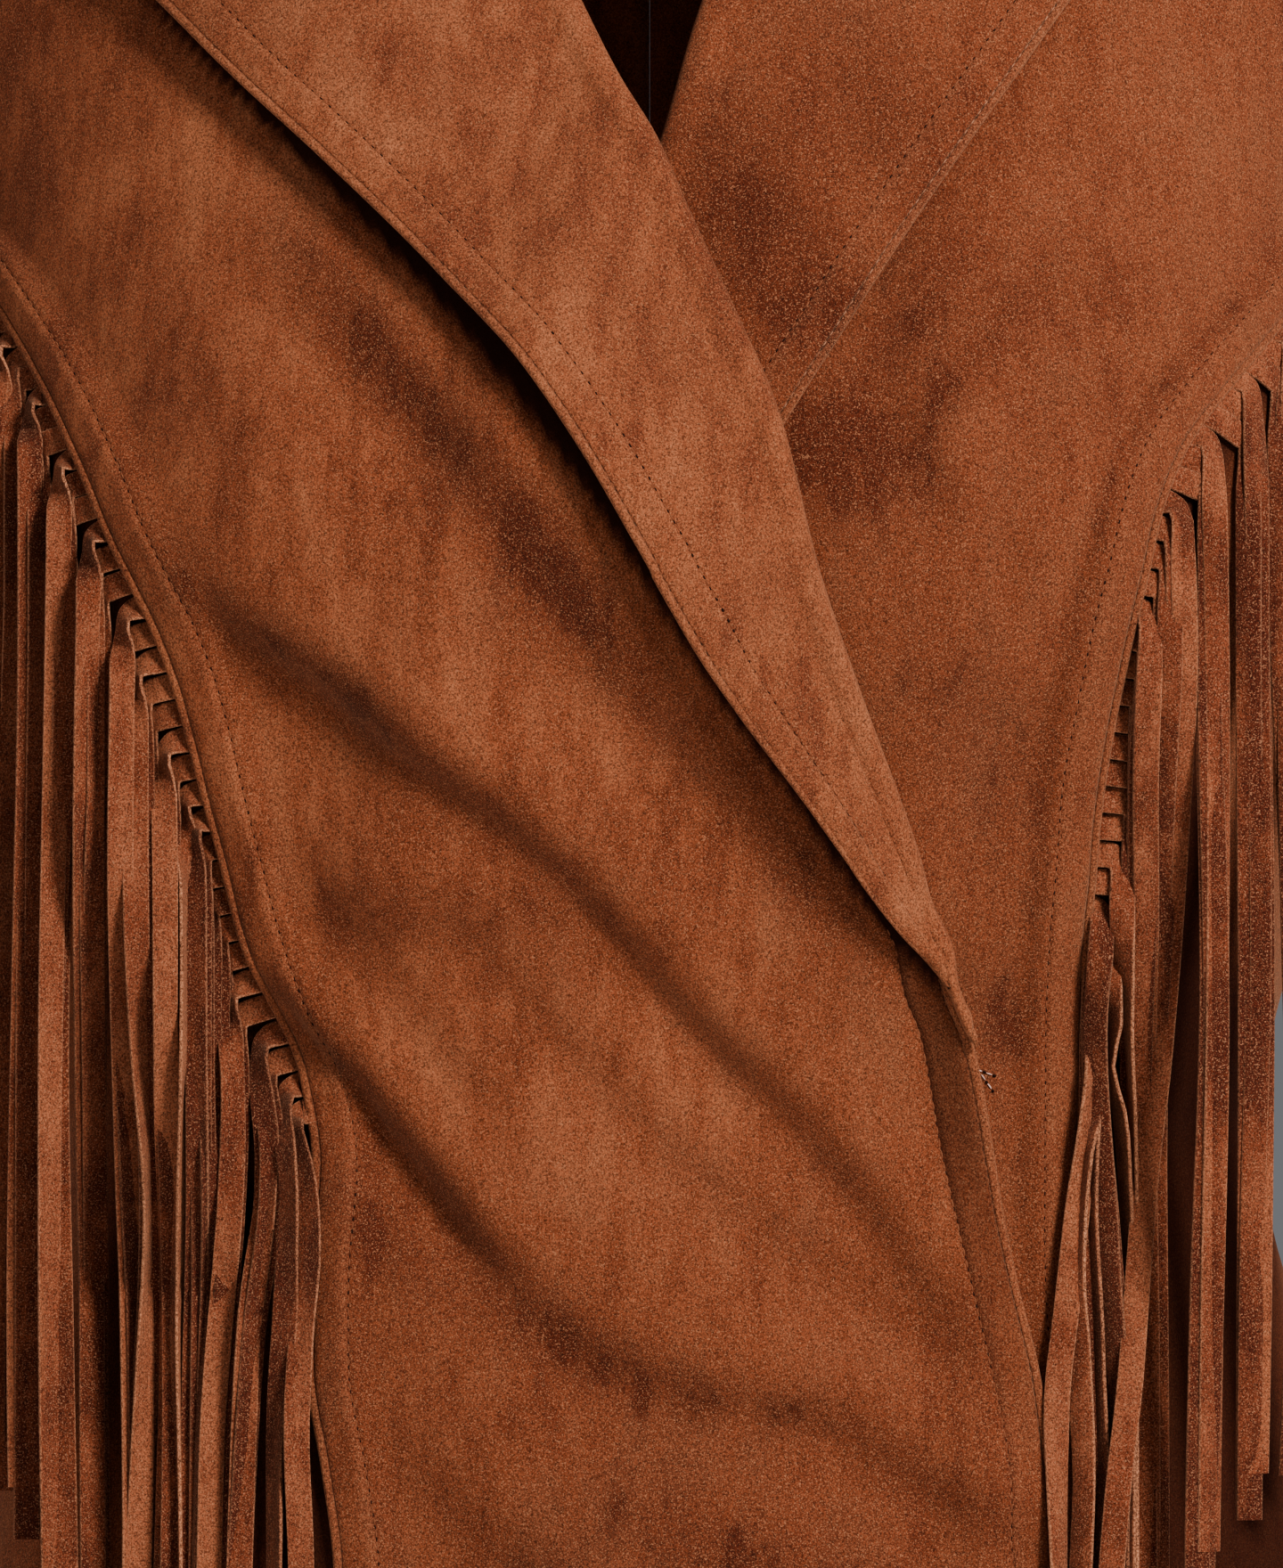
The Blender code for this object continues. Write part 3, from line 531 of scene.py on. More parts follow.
def near_folds(u, v, folds):
    """Each fold's height and widths, and how far below its line these places are and how full it is there."""
    for height, upper, lower, path in folds:
        path = np.array(path, float)
        line = even_steps(through(way_along(path), path, np.linspace(0, way_along(path)[-1], 90)), 40)
        start, step = line[:-1], np.diff(line, axis=0)
        du = u[..., None] - start[:, 0]
        dv = v[..., None] - start[:, 1]
        t = np.clip((du * step[:, 0] + dv * step[:, 1]) / (step**2).sum(1), 0, 1)
        gap = np.hypot(du - t * step[:, 0], dv - t * step[:, 1])
        best = gap.argmin(-1)[..., None]
        gap, t, du, dv = (np.take_along_axis(a, best, -1)[..., 0] for a in (gap, t, du, dv))
        best = best[..., 0]
        above = step[best, 0] * dv - step[best, 1] * du < 0
        share = (best + t) / len(step)
        full = ramp(share / 0.28) * ramp((1 - share) / 0.28)
        yield height, upper, lower, np.where(above, -gap, gap), full


def fold_heights(u, v, folds):
    """The height of the folds at these places: below 0 in a trough, whose steep side is its upper one."""
    total = np.zeros(u.shape)
    for height, upper, lower, below, full in near_folds(u, v, folds):
        inner = below - 0.75 * upper
        bottom = hump(inner / np.where(inner < 0, upper, lower))
        crest = 0.30 * hump((below + 1.5 * upper) / (1.5 * upper)) * (height < 0)
        total += height * full * (bottom - crest)
    return total


def fold_painted_shade(u, v, folds):
    """How much shade is painted on the steep sides of the folds."""
    total = np.zeros(u.shape)
    for height, upper, _, below, full in near_folds(u, v, folds):
        total += np.clip(-height / 6, 0, 1) * full * hump((below - 0.2 * upper) / (0.6 * upper + 2.6))
    return total


def waves(points):
    """The cloth's soft unevenness."""
    x, y, z = np.moveaxis(points, -1, 0)
    found = 0.30 * np.sin(x / 17 + 2.1 * np.sin(z / 41)) * np.sin(z / 23 + y / 37)
    found += 0.22 * np.sin(x / 9.1 + z / 12.7 + 1.7 * np.sin(z / 29 + 1))
    found += 0.16 * np.sin(y / 8.3 - z / 10.1 + 1.3 * np.sin(x / 19))
    found += 0.08 * np.sin(x / 4.3 + 1.1 * np.sin(z / 7.7)) * np.sin(z / 5.1 - y / 6.1)
    return found


def relief(points):
    """How far the body's cloth stands off its even shape: folds and unevenness, none at the armholes."""
    x, y, z = np.moveaxis(points, -1, 0)
    front = ramp((-y - 6) / 30) * fold_heights(x, -z, FRONT_FOLDS)
    back = ramp((y - 6) / 30) * fold_heights(x, -z, BACK_FOLDS)
    away = np.hypot((y - ARM_Y) / ARM_DEEP, (z - ARM_Z) / ARM_HIGH)
    clear = np.where(np.abs(x) > 120, ramp((away - 1.02) / 0.35), 1.0)
    return clear * (front + back + waves(points))


def drape(grid, off, lift=no_lift):
    """The grid seated on the body, then moved out to this distance and given its folds."""
    seated = seat(grid)
    off = off + lift(seated) + relief(seated)
    return seated + outward(seated) * np.broadcast_to(off, grid.shape[:-1])[..., None]


def trim(grid, sides, by=SEAM / 2):
    """The grid with its named edges moved in, to leave room for a seam."""
    grid = grid.copy()
    if "top" in sides:
        grid[0] += by * unit(grid[1] - grid[0])
    if "bottom" in sides:
        grid[-1] += by * unit(grid[-2] - grid[-1])
    if "start" in sides:
        grid[:, 0] += by * unit(grid[:, 2] - grid[:, 0])
    if "end" in sides:
        grid[:, -1] += by * unit(grid[:, -3] - grid[:, -1])
    return grid


def between(start, end, shares):
    """Rows from start to end, with points at these shares of the way."""
    shares = np.broadcast_to(shares, (len(start), np.shape(shares)[-1]))[..., None]
    return (1 - shares) * start[:, None] + shares * end[:, None]


def slant(line, across):
    """How much of each step across counts as distance from the line."""
    along = unit(np.gradient(line, axis=0))
    across = unit(across)
    dot = np.sum(along * across, -1)
    return np.sqrt(np.maximum(1 - dot**2, 0.2))


def cross_shares(start, end, inner):
    """Shares of the way across each row: set distances from both edges, and even steps between them."""
    across = end - start
    apart = np.linalg.norm(across, axis=1)
    first = EDGE_STEPS[None] / (apart * slant(start, across))[:, None]
    last = 1 - EDGE_STEPS[::-1][None] / (apart * slant(end, across))[:, None]
    even = np.linspace(0, 1, inner + 2)[1:-1]
    middle = first[:, -1:] + (last[:, :1] - first[:, -1:]) * even
    return np.hstack([first, middle, last])


def row_height(distance, edge=1.0):
    """The dip of two rows of topstitching this far from an edge, and the puff between them."""
    dips = -0.50 * hump((distance - EDGE_ROW) / 0.5) - 0.34 * hump((distance - INNER_ROW) / 0.6)
    puff = 0.36 * np.sin(np.pi * np.clip((distance - EDGE_ROW) / (INNER_ROW - EDGE_ROW), 0, 1))
    beside = 0.28 * hump((distance - INNER_ROW + 1.5) / 1.0)
    ridge = 0.26 * hump((distance - 1.0) / 0.6)
    return edge * (dips + puff + beside + ridge)


def pucker(along, distance):
    """Small uneven waves beside a row of stitches."""
    wave = np.sin(along / 2.9 + 1.9 * np.sin(along / 13.0)) + 0.7 * np.sin(along / 5.3 + 2)
    return 0.10 * wave * hump((distance - 6) / 4.5)


# ---------------------------------------------------------------------------------- panels


def from_last(grid):
    """How far each column beside the grid's last one is from it, and far away for the others."""
    return np.concatenate([np.full(grid.shape[1] - len(EDGE_STEPS), 99.0), EDGE_STEPS[::-1]])


def from_first(grid):
    return from_last(grid)[::-1]


def front_grid(side):
    """The middle of a front's wall, from its free edge to the princess seam's raised edge."""
    high, low = part_at(front_edge(side), -165)
    start = np.vstack([even_steps(high, HIGH_ROWS), even_steps(low, LOW_ROWS)[1:]])
    arm = armhole_steps(side, 0, armhole_turn(), HIGH_ROWS)
    end = np.vstack([arm, even_steps(princess_line(side), LOW_ROWS)[1:]])
    grid = between(start, end, cross_shares(start, end, 58))
    from_seam = from_last(grid)
    from_edge = from_first(grid)
    below = ramp((SEAM_FROM - end[:, 2]) / 16)[:, None]
    free = ramp((FREE_FROM - start[:, 2]) / 14)[:, None]
    rise = SEAM_RISE * (1 - ramp((from_seam - BAND) / (BAND_END - BAND)))
    along_seam, along_edge = way_along(end)[:, None], way_along(start)[:, None]
    off = below * (rise + row_height(from_seam) + pucker(along_seam, from_seam))
    off = off + free * (row_height(from_edge) + pucker(along_edge, from_edge))
    if side < 0:
        curl = ramp((-352 - start[:, 2]) / 12) * ramp((start[:, 2] + 470) / 80)
        off = off + CURL * curl[:, None] * (1 - ramp(from_edge / 10.5))
    draped = drape(grid, CLOTH / 2 + off, lift_of(side))
    return trim(trim(draped, ["end"]), ["top"], SHOULDER_TRIM)


def blanket(top, bottom, start, end):
    """A grid stretched between four edges; top and bottom run from start to end."""
    u = np.linspace(0, 1, len(top))[None, :, None]
    v = np.linspace(0, 1, len(start))[:, None, None]
    across = (1 - u) * start[:, None] + u * end[:, None]
    down = (1 - v) * top[None] + v * bottom[None]
    corners = (1 - v) * ((1 - u) * top[0] + u * top[-1]) + v * ((1 - u) * bottom[0] + u * bottom[-1])
    return across + down - corners


def seam_dip(grid_shape, end_too=True):
    """The soft dip of the cloth towards a plain seam at the sides of a panel."""
    columns = np.arange(grid_shape[1])
    near = np.minimum(columns, columns[::-1]) if end_too else columns[::-1]
    return -0.5 * hump(near / 1.2)


def side_front_grid(side):
    """The middle of a side front's wall, from under the front's seam edge to the side seam."""
    start = even_steps(princess_line(side, LAP), LOW_ROWS)
    end = even_steps(side_seam(side), LOW_ROWS)
    top = armhole_steps(side, armhole_turn(), 180, UNDERARM_STEPS)
    bottom = seat(between(start[-1:], end[-1:], np.linspace(0, 1, UNDERARM_STEPS + 1))[0])
    grid = blanket(top, bottom, start, end)
    off = CLOTH / 2 + seam_dip(grid.shape, False)[None]
    return trim(drape(grid, off, lift_of(side)), ["start", "end"])


def back_neck(side, count):
    """The back of the neck, from the middle to the shoulder seam."""
    turn = np.radians(np.linspace(90, 0, 400))
    z = -BACK_NECK_DROP * np.sin(turn) ** 2
    wide, deep, square = body_size(0 * z, 1 + 0 * z, z)
    across = wide * np.abs(np.cos(turn)) ** (2 / square)
    back = deep * np.abs(np.sin(turn)) ** (2 / square)
    return even_steps(np.stack([side * across, back, z], -1), count)


def back_grid(side):
    """The middle of a back's wall, from the centre back seam to the side seam."""
    z = np.linspace(-BACK_NECK_DROP, HEM_Z, 900)
    high, low, neck_steps, shoulder_steps = 60, 140, 26, 30
    start = even_steps(seat(np.stack([0 * z, 110 + 0 * z, z], -1)), high + low)
    arm = armhole_steps(side, 360, 180, high)
    end = np.vstack([arm, even_steps(side_seam(side), low)[1:]])
    neck, tip = np.array([side * NECK_X, 0, 0]), np.array([side * TIP_X, 0, TIP_Z])
    shoulder = neck + np.linspace(0, 1, shoulder_steps + 1)[1:, None] * (tip - neck)
    top = np.vstack([back_neck(side, neck_steps), shoulder])
    around = np.radians(np.linspace(180, 90, len(top)))
    bottom = seat(np.stack([side * 180 * np.sin(around), -140 * np.cos(around), HEM_Z + 0 * around], -1))
    bottom[-1] = end[-1]
    grid = blanket(top, bottom, start, end)
    draped = drape(grid, CLOTH / 2 + seam_dip(grid.shape)[None])
    draped = trim(draped, ["start", "end"])
    draped[0, neck_steps + 1 :] = trim(draped[:, neck_steps + 1 :], ["top"], SHOULDER_TRIM)[0]
    return draped


class Ground:
    """The panels' walls, which other pieces are laid over."""

    def __init__(self, grids):
        self.trees = []
        for grid in grids:
            rows, columns = grid.shape[:2]
            corners = [r * columns + c for r in range(rows - 1) for c in range(columns - 1)]
            faces = [(k, k + 1, k + columns + 1, k + columns) for k in corners]
            self.trees.append(BVHTree.FromPolygons(grid.reshape(-1, 3).tolist(), faces))

    def clear(self, grid, least, where=None):
        """The points of the grid that lie lower than this above a wall's middle are lifted to that height."""
        flat = grid.reshape(-1, 3).copy()
        chosen = np.arange(len(flat)) if where is None else np.nonzero(where.ravel())[0]
        for tree in self.trees:
            out = outward(flat)
            for k in chosen:
                point = flat[k]
                near = np.array(tree.find_nearest(tuple(point))[0])
                height = float(np.dot(point - near, out[k]))
                aside = np.linalg.norm(point - near - out[k] * height)
                if height < least and aside < 3.0:
                    flat[k] = point + out[k] * (least - height)
        return flat.reshape(grid.shape)


def columns_at(grid, inner):
    """The grid with new columns: close round the roll, even steps, then set distances from the last one."""
    made = []
    for row, way in zip(grid, ways(grid, 1)):
        room = min(EDGE_STEPS[-1], 0.45 * way[-1])
        last = way[-1] - EDGE_STEPS[::-1] * room / EDGE_STEPS[-1]
        roll = np.linspace(0, min(ROLL, 0.7 * last[0]), 12)
        even = np.linspace(roll[-1], last[0], inner + 2)[1:-1]
        made.append(through(way, row, np.concatenate([roll, even, last])))
    return np.array(made)


def past_roll(grid):
    """Which points of the grid are well past its rolled edge."""
    return ways(grid, 1) > 6.0


def lapel_table(side):
    return LAPEL_RIGHT if side < 0 else LAPEL_LEFT


def lapel_grid(side, panel, ground):
    """The middle of a lapel's wall: it rolls round its front's edge and lies out over the front."""
    table = lapel_table(side)
    depths = table[0, 0] + (table[-1, 0] - table[0, 0]) * np.linspace(0, 1, 170) ** 1.15
    outer = smooth(table, depths)
    roll = np.stack([np.interp(depths, -panel[:, 0, 2], panel[:, 0, k]) for k in range(3)], -1)
    tips = on_front(outer[:, 0], -outer[:, 1])
    out = outward(roll)
    over = along_face(tips - roll, out)
    hook = np.array([(-2.0, 0.2), (-1.7, 2.6), (1.2, 3.9)])
    narrow = np.clip(np.linalg.norm(tips - roll, axis=1) / 12, 0.2, 1)[:, None, None]
    rolled = roll[:, None] + (over[:, None] * hook[:, :1] + out[:, None] * (hook[:, 1:] - 1.6)) * narrow
    rolled = rolled + 1.6 * out[:, None]
    shares = np.linspace(0, 1, 16)[1:]
    flat = seat(between(roll + 1.8 * over * narrow[:, 0], tips, shares))
    crown = 1.5 * np.sin(np.pi * shares) ** 0.8 * narrow[:, 0]
    off = lift_of(side)(flat) + relief(flat) + CLOTH + PLY + FACED / 2 + 0.3 + crown
    off = off + outer[:, 2:3] * shares**1.6
    grid = np.concatenate([rolled, flat + outward(flat) * off[..., None]], axis=1)
    grid = columns_at(grid, 34)
    grid = ground.clear(grid, CLOTH / 2 + PLY + FACED / 2, past_roll(grid))
    distance = from_last(grid)
    along = way_along(grid[:, -1])[:, None]
    fade = ramp((len(grid) - 1 - np.arange(len(grid))) / 12)[:, None]
    off = fade * (row_height(distance, 0.62) + 1.3 * pucker(along, distance))
    off = off + 0.35 * np.sin(along / 21.0 + 1.3 * np.sin(along / 47)) * ramp(1 - distance / 14)
    grid = grid + outward(grid) * off[..., None]
    grid[0] += 0.6 * unit(grid[1] - grid[0])
    return grid


def collar_half(side, ground):
    """The middle of the collar's wall, from the gorge round to the middle of the back."""
    table = lapel_table(side)
    front, _ = part_at(front_edge(side), -table[0, 0])
    behind = back_neck(side, 60)
    neck = np.vstack([front[::-1], behind[::-1][1:]])
    shares = np.array([0, 0.05, 0.10, 0.15, 0.20, 0.26, 0.33, 0.41, 0.50, 0.60, 0.70, 0.80, 0.90, 1])
    way = way_along(neck)
    base = np.stack([np.interp(shares * way[-1], way, neck[:, k]) for k in range(3)], -1)
    point = on_front(table[0, 1], -table[0, 2])
    notch = base[0] + NOTCH * (point - base[0])
    rest = smooth(COLLAR, shares[2:])
    rest[:, 0] *= side
    tips = seat(np.vstack([seat(notch[None]), (notch + rest[0, :3])[None] / 2, rest[:, :3]]))
    stand = np.concatenate([[0, 1], rest[:, 3]])[:, None]
    out = outward(base)
    over = along_face(tips - base, out)
    full = np.clip(stand / 12, 0, 1)
    up = np.array([0.0, 0.0, 1.0])
    places = (
        ((-1.9, 0.8), (-1.9, 0.8), 0.0),
        ((-1.9, 1.5), (-1.9, 1.5), 0.45),
        ((-1.8, 2.2), (-2.6, 2.2), 0.95),
        ((-1.3, 3.2), (-0.2, 4.6), 1.0),
        ((1.4, 3.8), (3.2, 3.0), 1.0),
    )
    columns = []
    for flat_place, stood_place, share in places:
        place = np.array(flat_place) * (1 - full) + np.array(stood_place) * full
        columns.append(base + over * place[:, :1] + out * place[:, 1:] + up * stand * share)
    lowest = CLOTH + PLY + FACED / 2 + 0.4
    for share in (0.25, 0.45, 0.65, 0.83, 1.0):
        guess = columns[4] + share * (tips + outward(tips) * (lowest + 2.5) - columns[4])
        guess[0] = base[0] + share * (notch - base[0])
        under = seat(guess)
        above = np.sum((guess - under) * outward(under), -1, keepdims=True)
        floor = lowest + 2.5 * share**1.6
        columns.append(np.where(above > floor, guess, under + outward(under) * floor))
    grid = np.stack(columns, axis=1)
    grid[:, 5:] = ground.clear(grid[:, 5:], CLOTH / 2 + PLY + FACED / 2)
    return grid


def collar_grid(ground):
    """The whole collar, from one gorge seam to the other."""
    right, left = collar_half(-1, ground), collar_half(1, ground)
    middle = right[-1:] * [0, 1, 1]
    grid = np.concatenate([right[:-1], middle, left[:-1][::-1]])
    grid = finer(grid, np.linspace(0, 1, 230))
    grid = columns_at(grid, 26)
    distance = from_last(grid)
    along = way_along(grid[:, -1])[:, None]
    off = row_height(distance, 0.62) + 1.2 * pucker(along, distance)
    grid = grid + outward(grid) * off[..., None]
    return trim(grid, ["top", "bottom"], 0.6)


def sleeve_turns(hole):
    """The angle round the arm of each point of the armhole, 0 at the top and 90 in front."""
    return np.arctan2((ARM_Y - hole[:, 1]) / ARM_DEEP, (hole[:, 2] - ARM_Z) / ARM_HIGH)[:, None]


def sleeve_grid(side):
    """The middle of a sleeve's wall, from inside the armhole's edge and over the shoulder to the cuff."""
    front = armhole_steps(1, 0, armhole_turn(), 42)
    under = armhole_steps(1, armhole_turn(), 180, 24)
    behind = armhole_steps(1, 180, 360, 54)
    hole = np.vstack([front[:-1], under[:-1], behind[:-1]])
    turn = sleeve_turns(hole)
    out = outward(hole)
    inwards = along_face(np.array([ARM_HOLE_X, ARM_Y, ARM_Z]) - hole, out)
    root = hole + inwards * ARM_HOLE_SHIFT
    proud = root + out * 5.0
    centres = ARM[:, :3]
    along = unit(np.gradient(centres, axis=0))
    sideways = unit(np.array([1.0, 0, 0]) - along * along[:, :1])
    rings = []
    for centre, aside, size in zip(centres, sideways, ARM[:, 3:]):
        ring = centre + aside * size[0] * np.cos(turn) - np.array([0, size[1], 0]) * np.sin(turn)
        rings.append(ring)
    apart = np.linalg.norm(rings[0] - proud, axis=1)[:, None]
    low = (1 - np.cos(turn)) / 2
    leave = unit((1 - low) * CAP_LEAVES + low * UNDERARM_LEAVES + 0.25 * out)
    cap = []
    for t in (0.17, 0.34, 0.5, 0.66, 0.83):
        place = (1 + 2 * t) * (1 - t) ** 2 * proud + t * t * (3 - 2 * t) * rings[0]
        pull = t * (1 - t) ** 2 * leave * 1.15 + t * t * (t - 1) * along[0]
        cap.append(place + pull * apart)
    tucked = [hole + inwards * across + out * up for across, up in ALLOWANCE]
    grid = np.stack(tucked + [root + out * 0.8, proud] + cap + rings)
    first = np.linspace(0, 0.03, 16)[:-1]
    shares = np.concatenate([first, np.linspace(0.03, 0.995, 150), [0.9965, 0.998, 0.9993, 1]])
    grid = finer(grid, shares)
    centre = grid.mean(axis=1, keepdims=True)
    around = np.degrees(turn[:, 0]) % 360
    round_way = np.broadcast_to(around[None] * 0.9, grid.shape[:2])
    folds = []
    for height, upper, lower, path in SLEEVE_FOLDS:
        folds.append((height, upper, lower, tuple((a * 0.9, depth + 6 * side) for a, depth in path)))
    height = fold_heights(round_way, -grid[..., 2], folds) + waves(grid * [side, 1, 1] + [40 * side, 0, 0])
    row = np.arange(len(grid))[:, None]
    fade = ramp((row - TUCKED_ROWS) / 22) * ramp((len(grid) - 1 - row) / 10)
    grid = grid + unit(grid - centre) * (fade * height)[..., None]
    return grid * [side, 1, 1]


# ---------------------------------------------------------------------------------- fringe

# Strands with a place of their own: number from the top, distance in front of the lowest ones, how far
# further in each strand behind it hangs (0 when none does), tone just below its bend and further down (its
# own tone, darker with painted shade where it hangs in the shade of others), then the places that its middle
# passes (depth, distance from the middle of the body, width as seen from the front; below 0 when its inner
# edge is the nearer one). With no places it hangs straight down.
SHOWN_RIGHT = {
    0: (2.8, 1.7, 0.3, 0.0, ()),
    2: (2.8, 1.5, 0.4, -0.2, ()),
    5: (2.8, 1.5, -0.3, 0.3, ()),
    8: (2.8, 1.5, 0.5, 0.0, ()),
    11: (2.8, 1.3, -0.2, -0.4, ()),
    14: (2.8, 1.3, 0.2, 0.4, ()),
    16: (2.8, 1.0, 0.1, 0.4, ((308, 116.2, 5.7), (345, 116.2, 5.6), (385, 115.4, 4.6), (417, 114.1, 2.6),
                              (449, 114.8, 3.9), (469, 115.4, 4.8), (497, 116.1, 5.7))),
    19: (2.8, 0.9, 0.6, -0.5, ((322, 110.0, 5.8), (345, 109.7, 5.8), (385, 109.6, 5.6), (417, 109.6, -5.0),
                               (449, 109.7, -4.1), (469, 109.6, -4.8), (500, 109.8, -5.6))),
    21: (0.9, 0.0, 0.3, 0.5, ((334, 105.4, 2.4), (372, 105.2, 1.4), (395, 105.4, 1.6), (417, 105.8, 2.6),
                              (449, 106.5, 2.4), (469, 106.4, 1.7), (500, 106.0, 1.3))),
    22: (2.8, 1.15, -0.6, -0.9, ((342, 103.2, -5.6), (385, 103.0, -5.6), (417, 102.4, -4.4),
                                 (449, 103.1, -4.4), (469, 103.6, -3.0), (500, 104.2, -2.4))),
    28: (2.8, 1.0, -0.3, 0.8, ((378, 95.4, 5.4), (396, 94.6, 5.2), (417, 95.1, 5.8), (449, 97.8, 5.8),
                               (469, 99.2, 5.6), (497, 99.8, 5.6))),
    30: (2.8, 1.0, -0.8, 0.2, ((390, 88.8, -5.6), (408, 86.9, -5.6), (417, 87.2, -5.0), (449, 91.1, 5.4),
                               (469, 92.0, 5.8), (497, 92.8, 5.8))),
    32: (2.0, 0.8, -0.4, -0.6, ((401, 83.4, -4.6), (417, 81.8, -3.4), (430, 82.2, -4.2), (449, 82.9, -5.5),
                                (469, 84.8, -3.8), (497, 85.0, -3.5))),
    33: (1.0, 0.0, -0.7, -0.1, ((405, 80.2, -4.6), (417, 77.8, -4.6), (432, 77.2, -4.8), (449, 78.9, -5.4),
                               (469, 79.9, 5.6), (497, 79.0, 5.8))),
}
SHOWN_LEFT = {
    0: (2.8, 1.5, -0.1, 0.1, ()),
    2: (2.8, 1.5, 0.3, -0.1, ()),
    5: (2.8, 1.5, -0.5, 0.2, ()),
    8: (2.8, 1.5, 0.2, 0.0, ()),
    11: (4.0, 1.6, 0.2, 0.3, ((272, 120.0, -5.8), (300, 120.6, -5.8), (330, 119.5, -5.8),
                              (360, 118.0, -5.8), (380, 116.6, -5.8), (389, 115.9, -5.8),
                              (412, 113.3, -5.8), (428, 111.7, -5.8), (441, 110.5, -5.8),
                              (461, 108.6, -5.8), (481, 106.1, -5.8), (501, 104.2, -5.8))),
    15: (2.8, 0.35, 0.0, -0.2, ((295, 112.6, -5.6), (301, 112.4, -5.8), (322, 112.0, -5.8),
                                (354, 112.6, -5.8), (380, 112.4, -5.8), (399, 112.6, -5.8),
                                (430, 113.0, -5.8), (500, 113.0, -5.6))),
    24: (1.9, 0.0, 0.1, -0.3, ((349, 106.9, 5.6), (360, 107.2, 4.8), (372, 108.2, 2.8), (380, 108.8, 1.6),
                               (400, 110.0, 1.4), (500, 108.0, 3.0))),
    26: (2.8, 0.9, -0.9, -0.9, ((361, 102.2, 5.6), (379, 101.0, 5.5), (400, 101.8, 5.6), (420, 103.3, 5.6),
                                (437, 104.4, 4.8), (460, 106.2, 4.2), (500, 106.0, 4.0))),
    27: (1.6, 0.0, 0.0, 0.0, ((369, 104.0, 2.6), (379, 105.7, 3.0), (388, 104.6, 1.6), (400, 107.0, 2.6),
                              (420, 108.6, 1.8), (460, 109.6, 1.4), (500, 109.6, 1.4))),
    30: (2.8, 0.9, 0.3, 0.3, ((386, 101.0, -3.0), (408, 98.6, -4.4), (421, 97.0, -5.6), (445, 94.2, -5.8),
                              (461, 92.2, -5.8), (481, 91.9, -4.2), (501, 92.2, -3.0))),
    31: (0.5, 0.0, -0.5, -0.5, ((393, 101.4, 2.4), (420, 100.2, 3.0), (448, 101.5, 3.0), (461, 101.8, 3.0),
                                (481, 102.3, 3.4), (501, 101.5, 3.0))),
    32: (1.4, 0.0, -0.4, 0.1, ((398, 100.6, 2.4), (430, 97.4, 3.0), (441, 96.8, 4.2), (449, 97.0, 5.2),
                               (461, 97.4, 5.6), (481, 98.2, 4.8), (501, 97.4, 4.8))),
}
HUNG_OUT = 5.3  # from the seam to the middle of a strand that hangs straight down
TURNED_OUT = {-1: -28.0, 1: 0.0}  # how far the shown strands twist at their bends, in degrees
IN_FRONT = {-1: {}, 1: {11: 4.5}}  # how far lower down a strand passes in front of the rest
# Painted shade: tones of the strands hidden behind a shown one, below the bend and further down
BEHIND_SHADE_TONES = {-1: ((-0.35, -0.55), (-0.75, -0.75)), 1: ((-0.55, -0.75), (-0.95, -0.95))}
BEND_SHADE = {-1: 0.6, 1: 0.0}  # how much shade is painted on the bends of the shown strands
BEND = 3.4  # radius of the turn from the seam down
SWING_BACK = {-1: 60.0, 1: 12.0}  # how far below a forward place a strand is free of it
SWING_FREE = 400.0  # the same for the outermost ones, which hang clear of the waist
SWING_FIRST = {-1: 11, 1: 11}  # how many strands those are
LAYER = 0.92  # from a strand's middle to that of the one behind it


def surface_depth(x, z):
    """How far forward the body's front is, with x as the distance from the middle."""
    return -on_front(x, z)[..., 1]


def hang_depth(free, x, z, top):
    """How far forward a strand hangs: as far as the most forward point that it has passed on its way."""
    top = np.minimum(np.maximum(top, z), z + free)
    levels = np.maximum(z + (top - z) * np.linspace(0, 1, 25)[:, None], HEM_Z)
    return np.max(surface_depth(np.broadcast_to(x, levels.shape), levels), axis=0)


def hang(side, free, x, z, top, off, loose):
    """The cloth under a strand: how far forward, its slope, that slope's length and the strand's height."""
    here = hang_depth(free, x, z, top)
    slope = np.clip((hang_depth(free, x + 4, z, top) - hang_depth(free, x - 4, z, top)) / 8, -1.6, 1.6)
    level = np.maximum(z, HEM_Z)
    points = np.stack([side * x, -here, level], -1)
    over_seam = (SEAM_RISE + 0.8) * ramp((seam_x(side, level) + 8 - x) / 6) * ramp((-394 - z) / 14)
    away = off + lift_of(side)(points) + over_seam + 2 * ramp((-560 - z) / 40) + relief(points) * loose
    return here, slope, np.hypot(1, slope), away


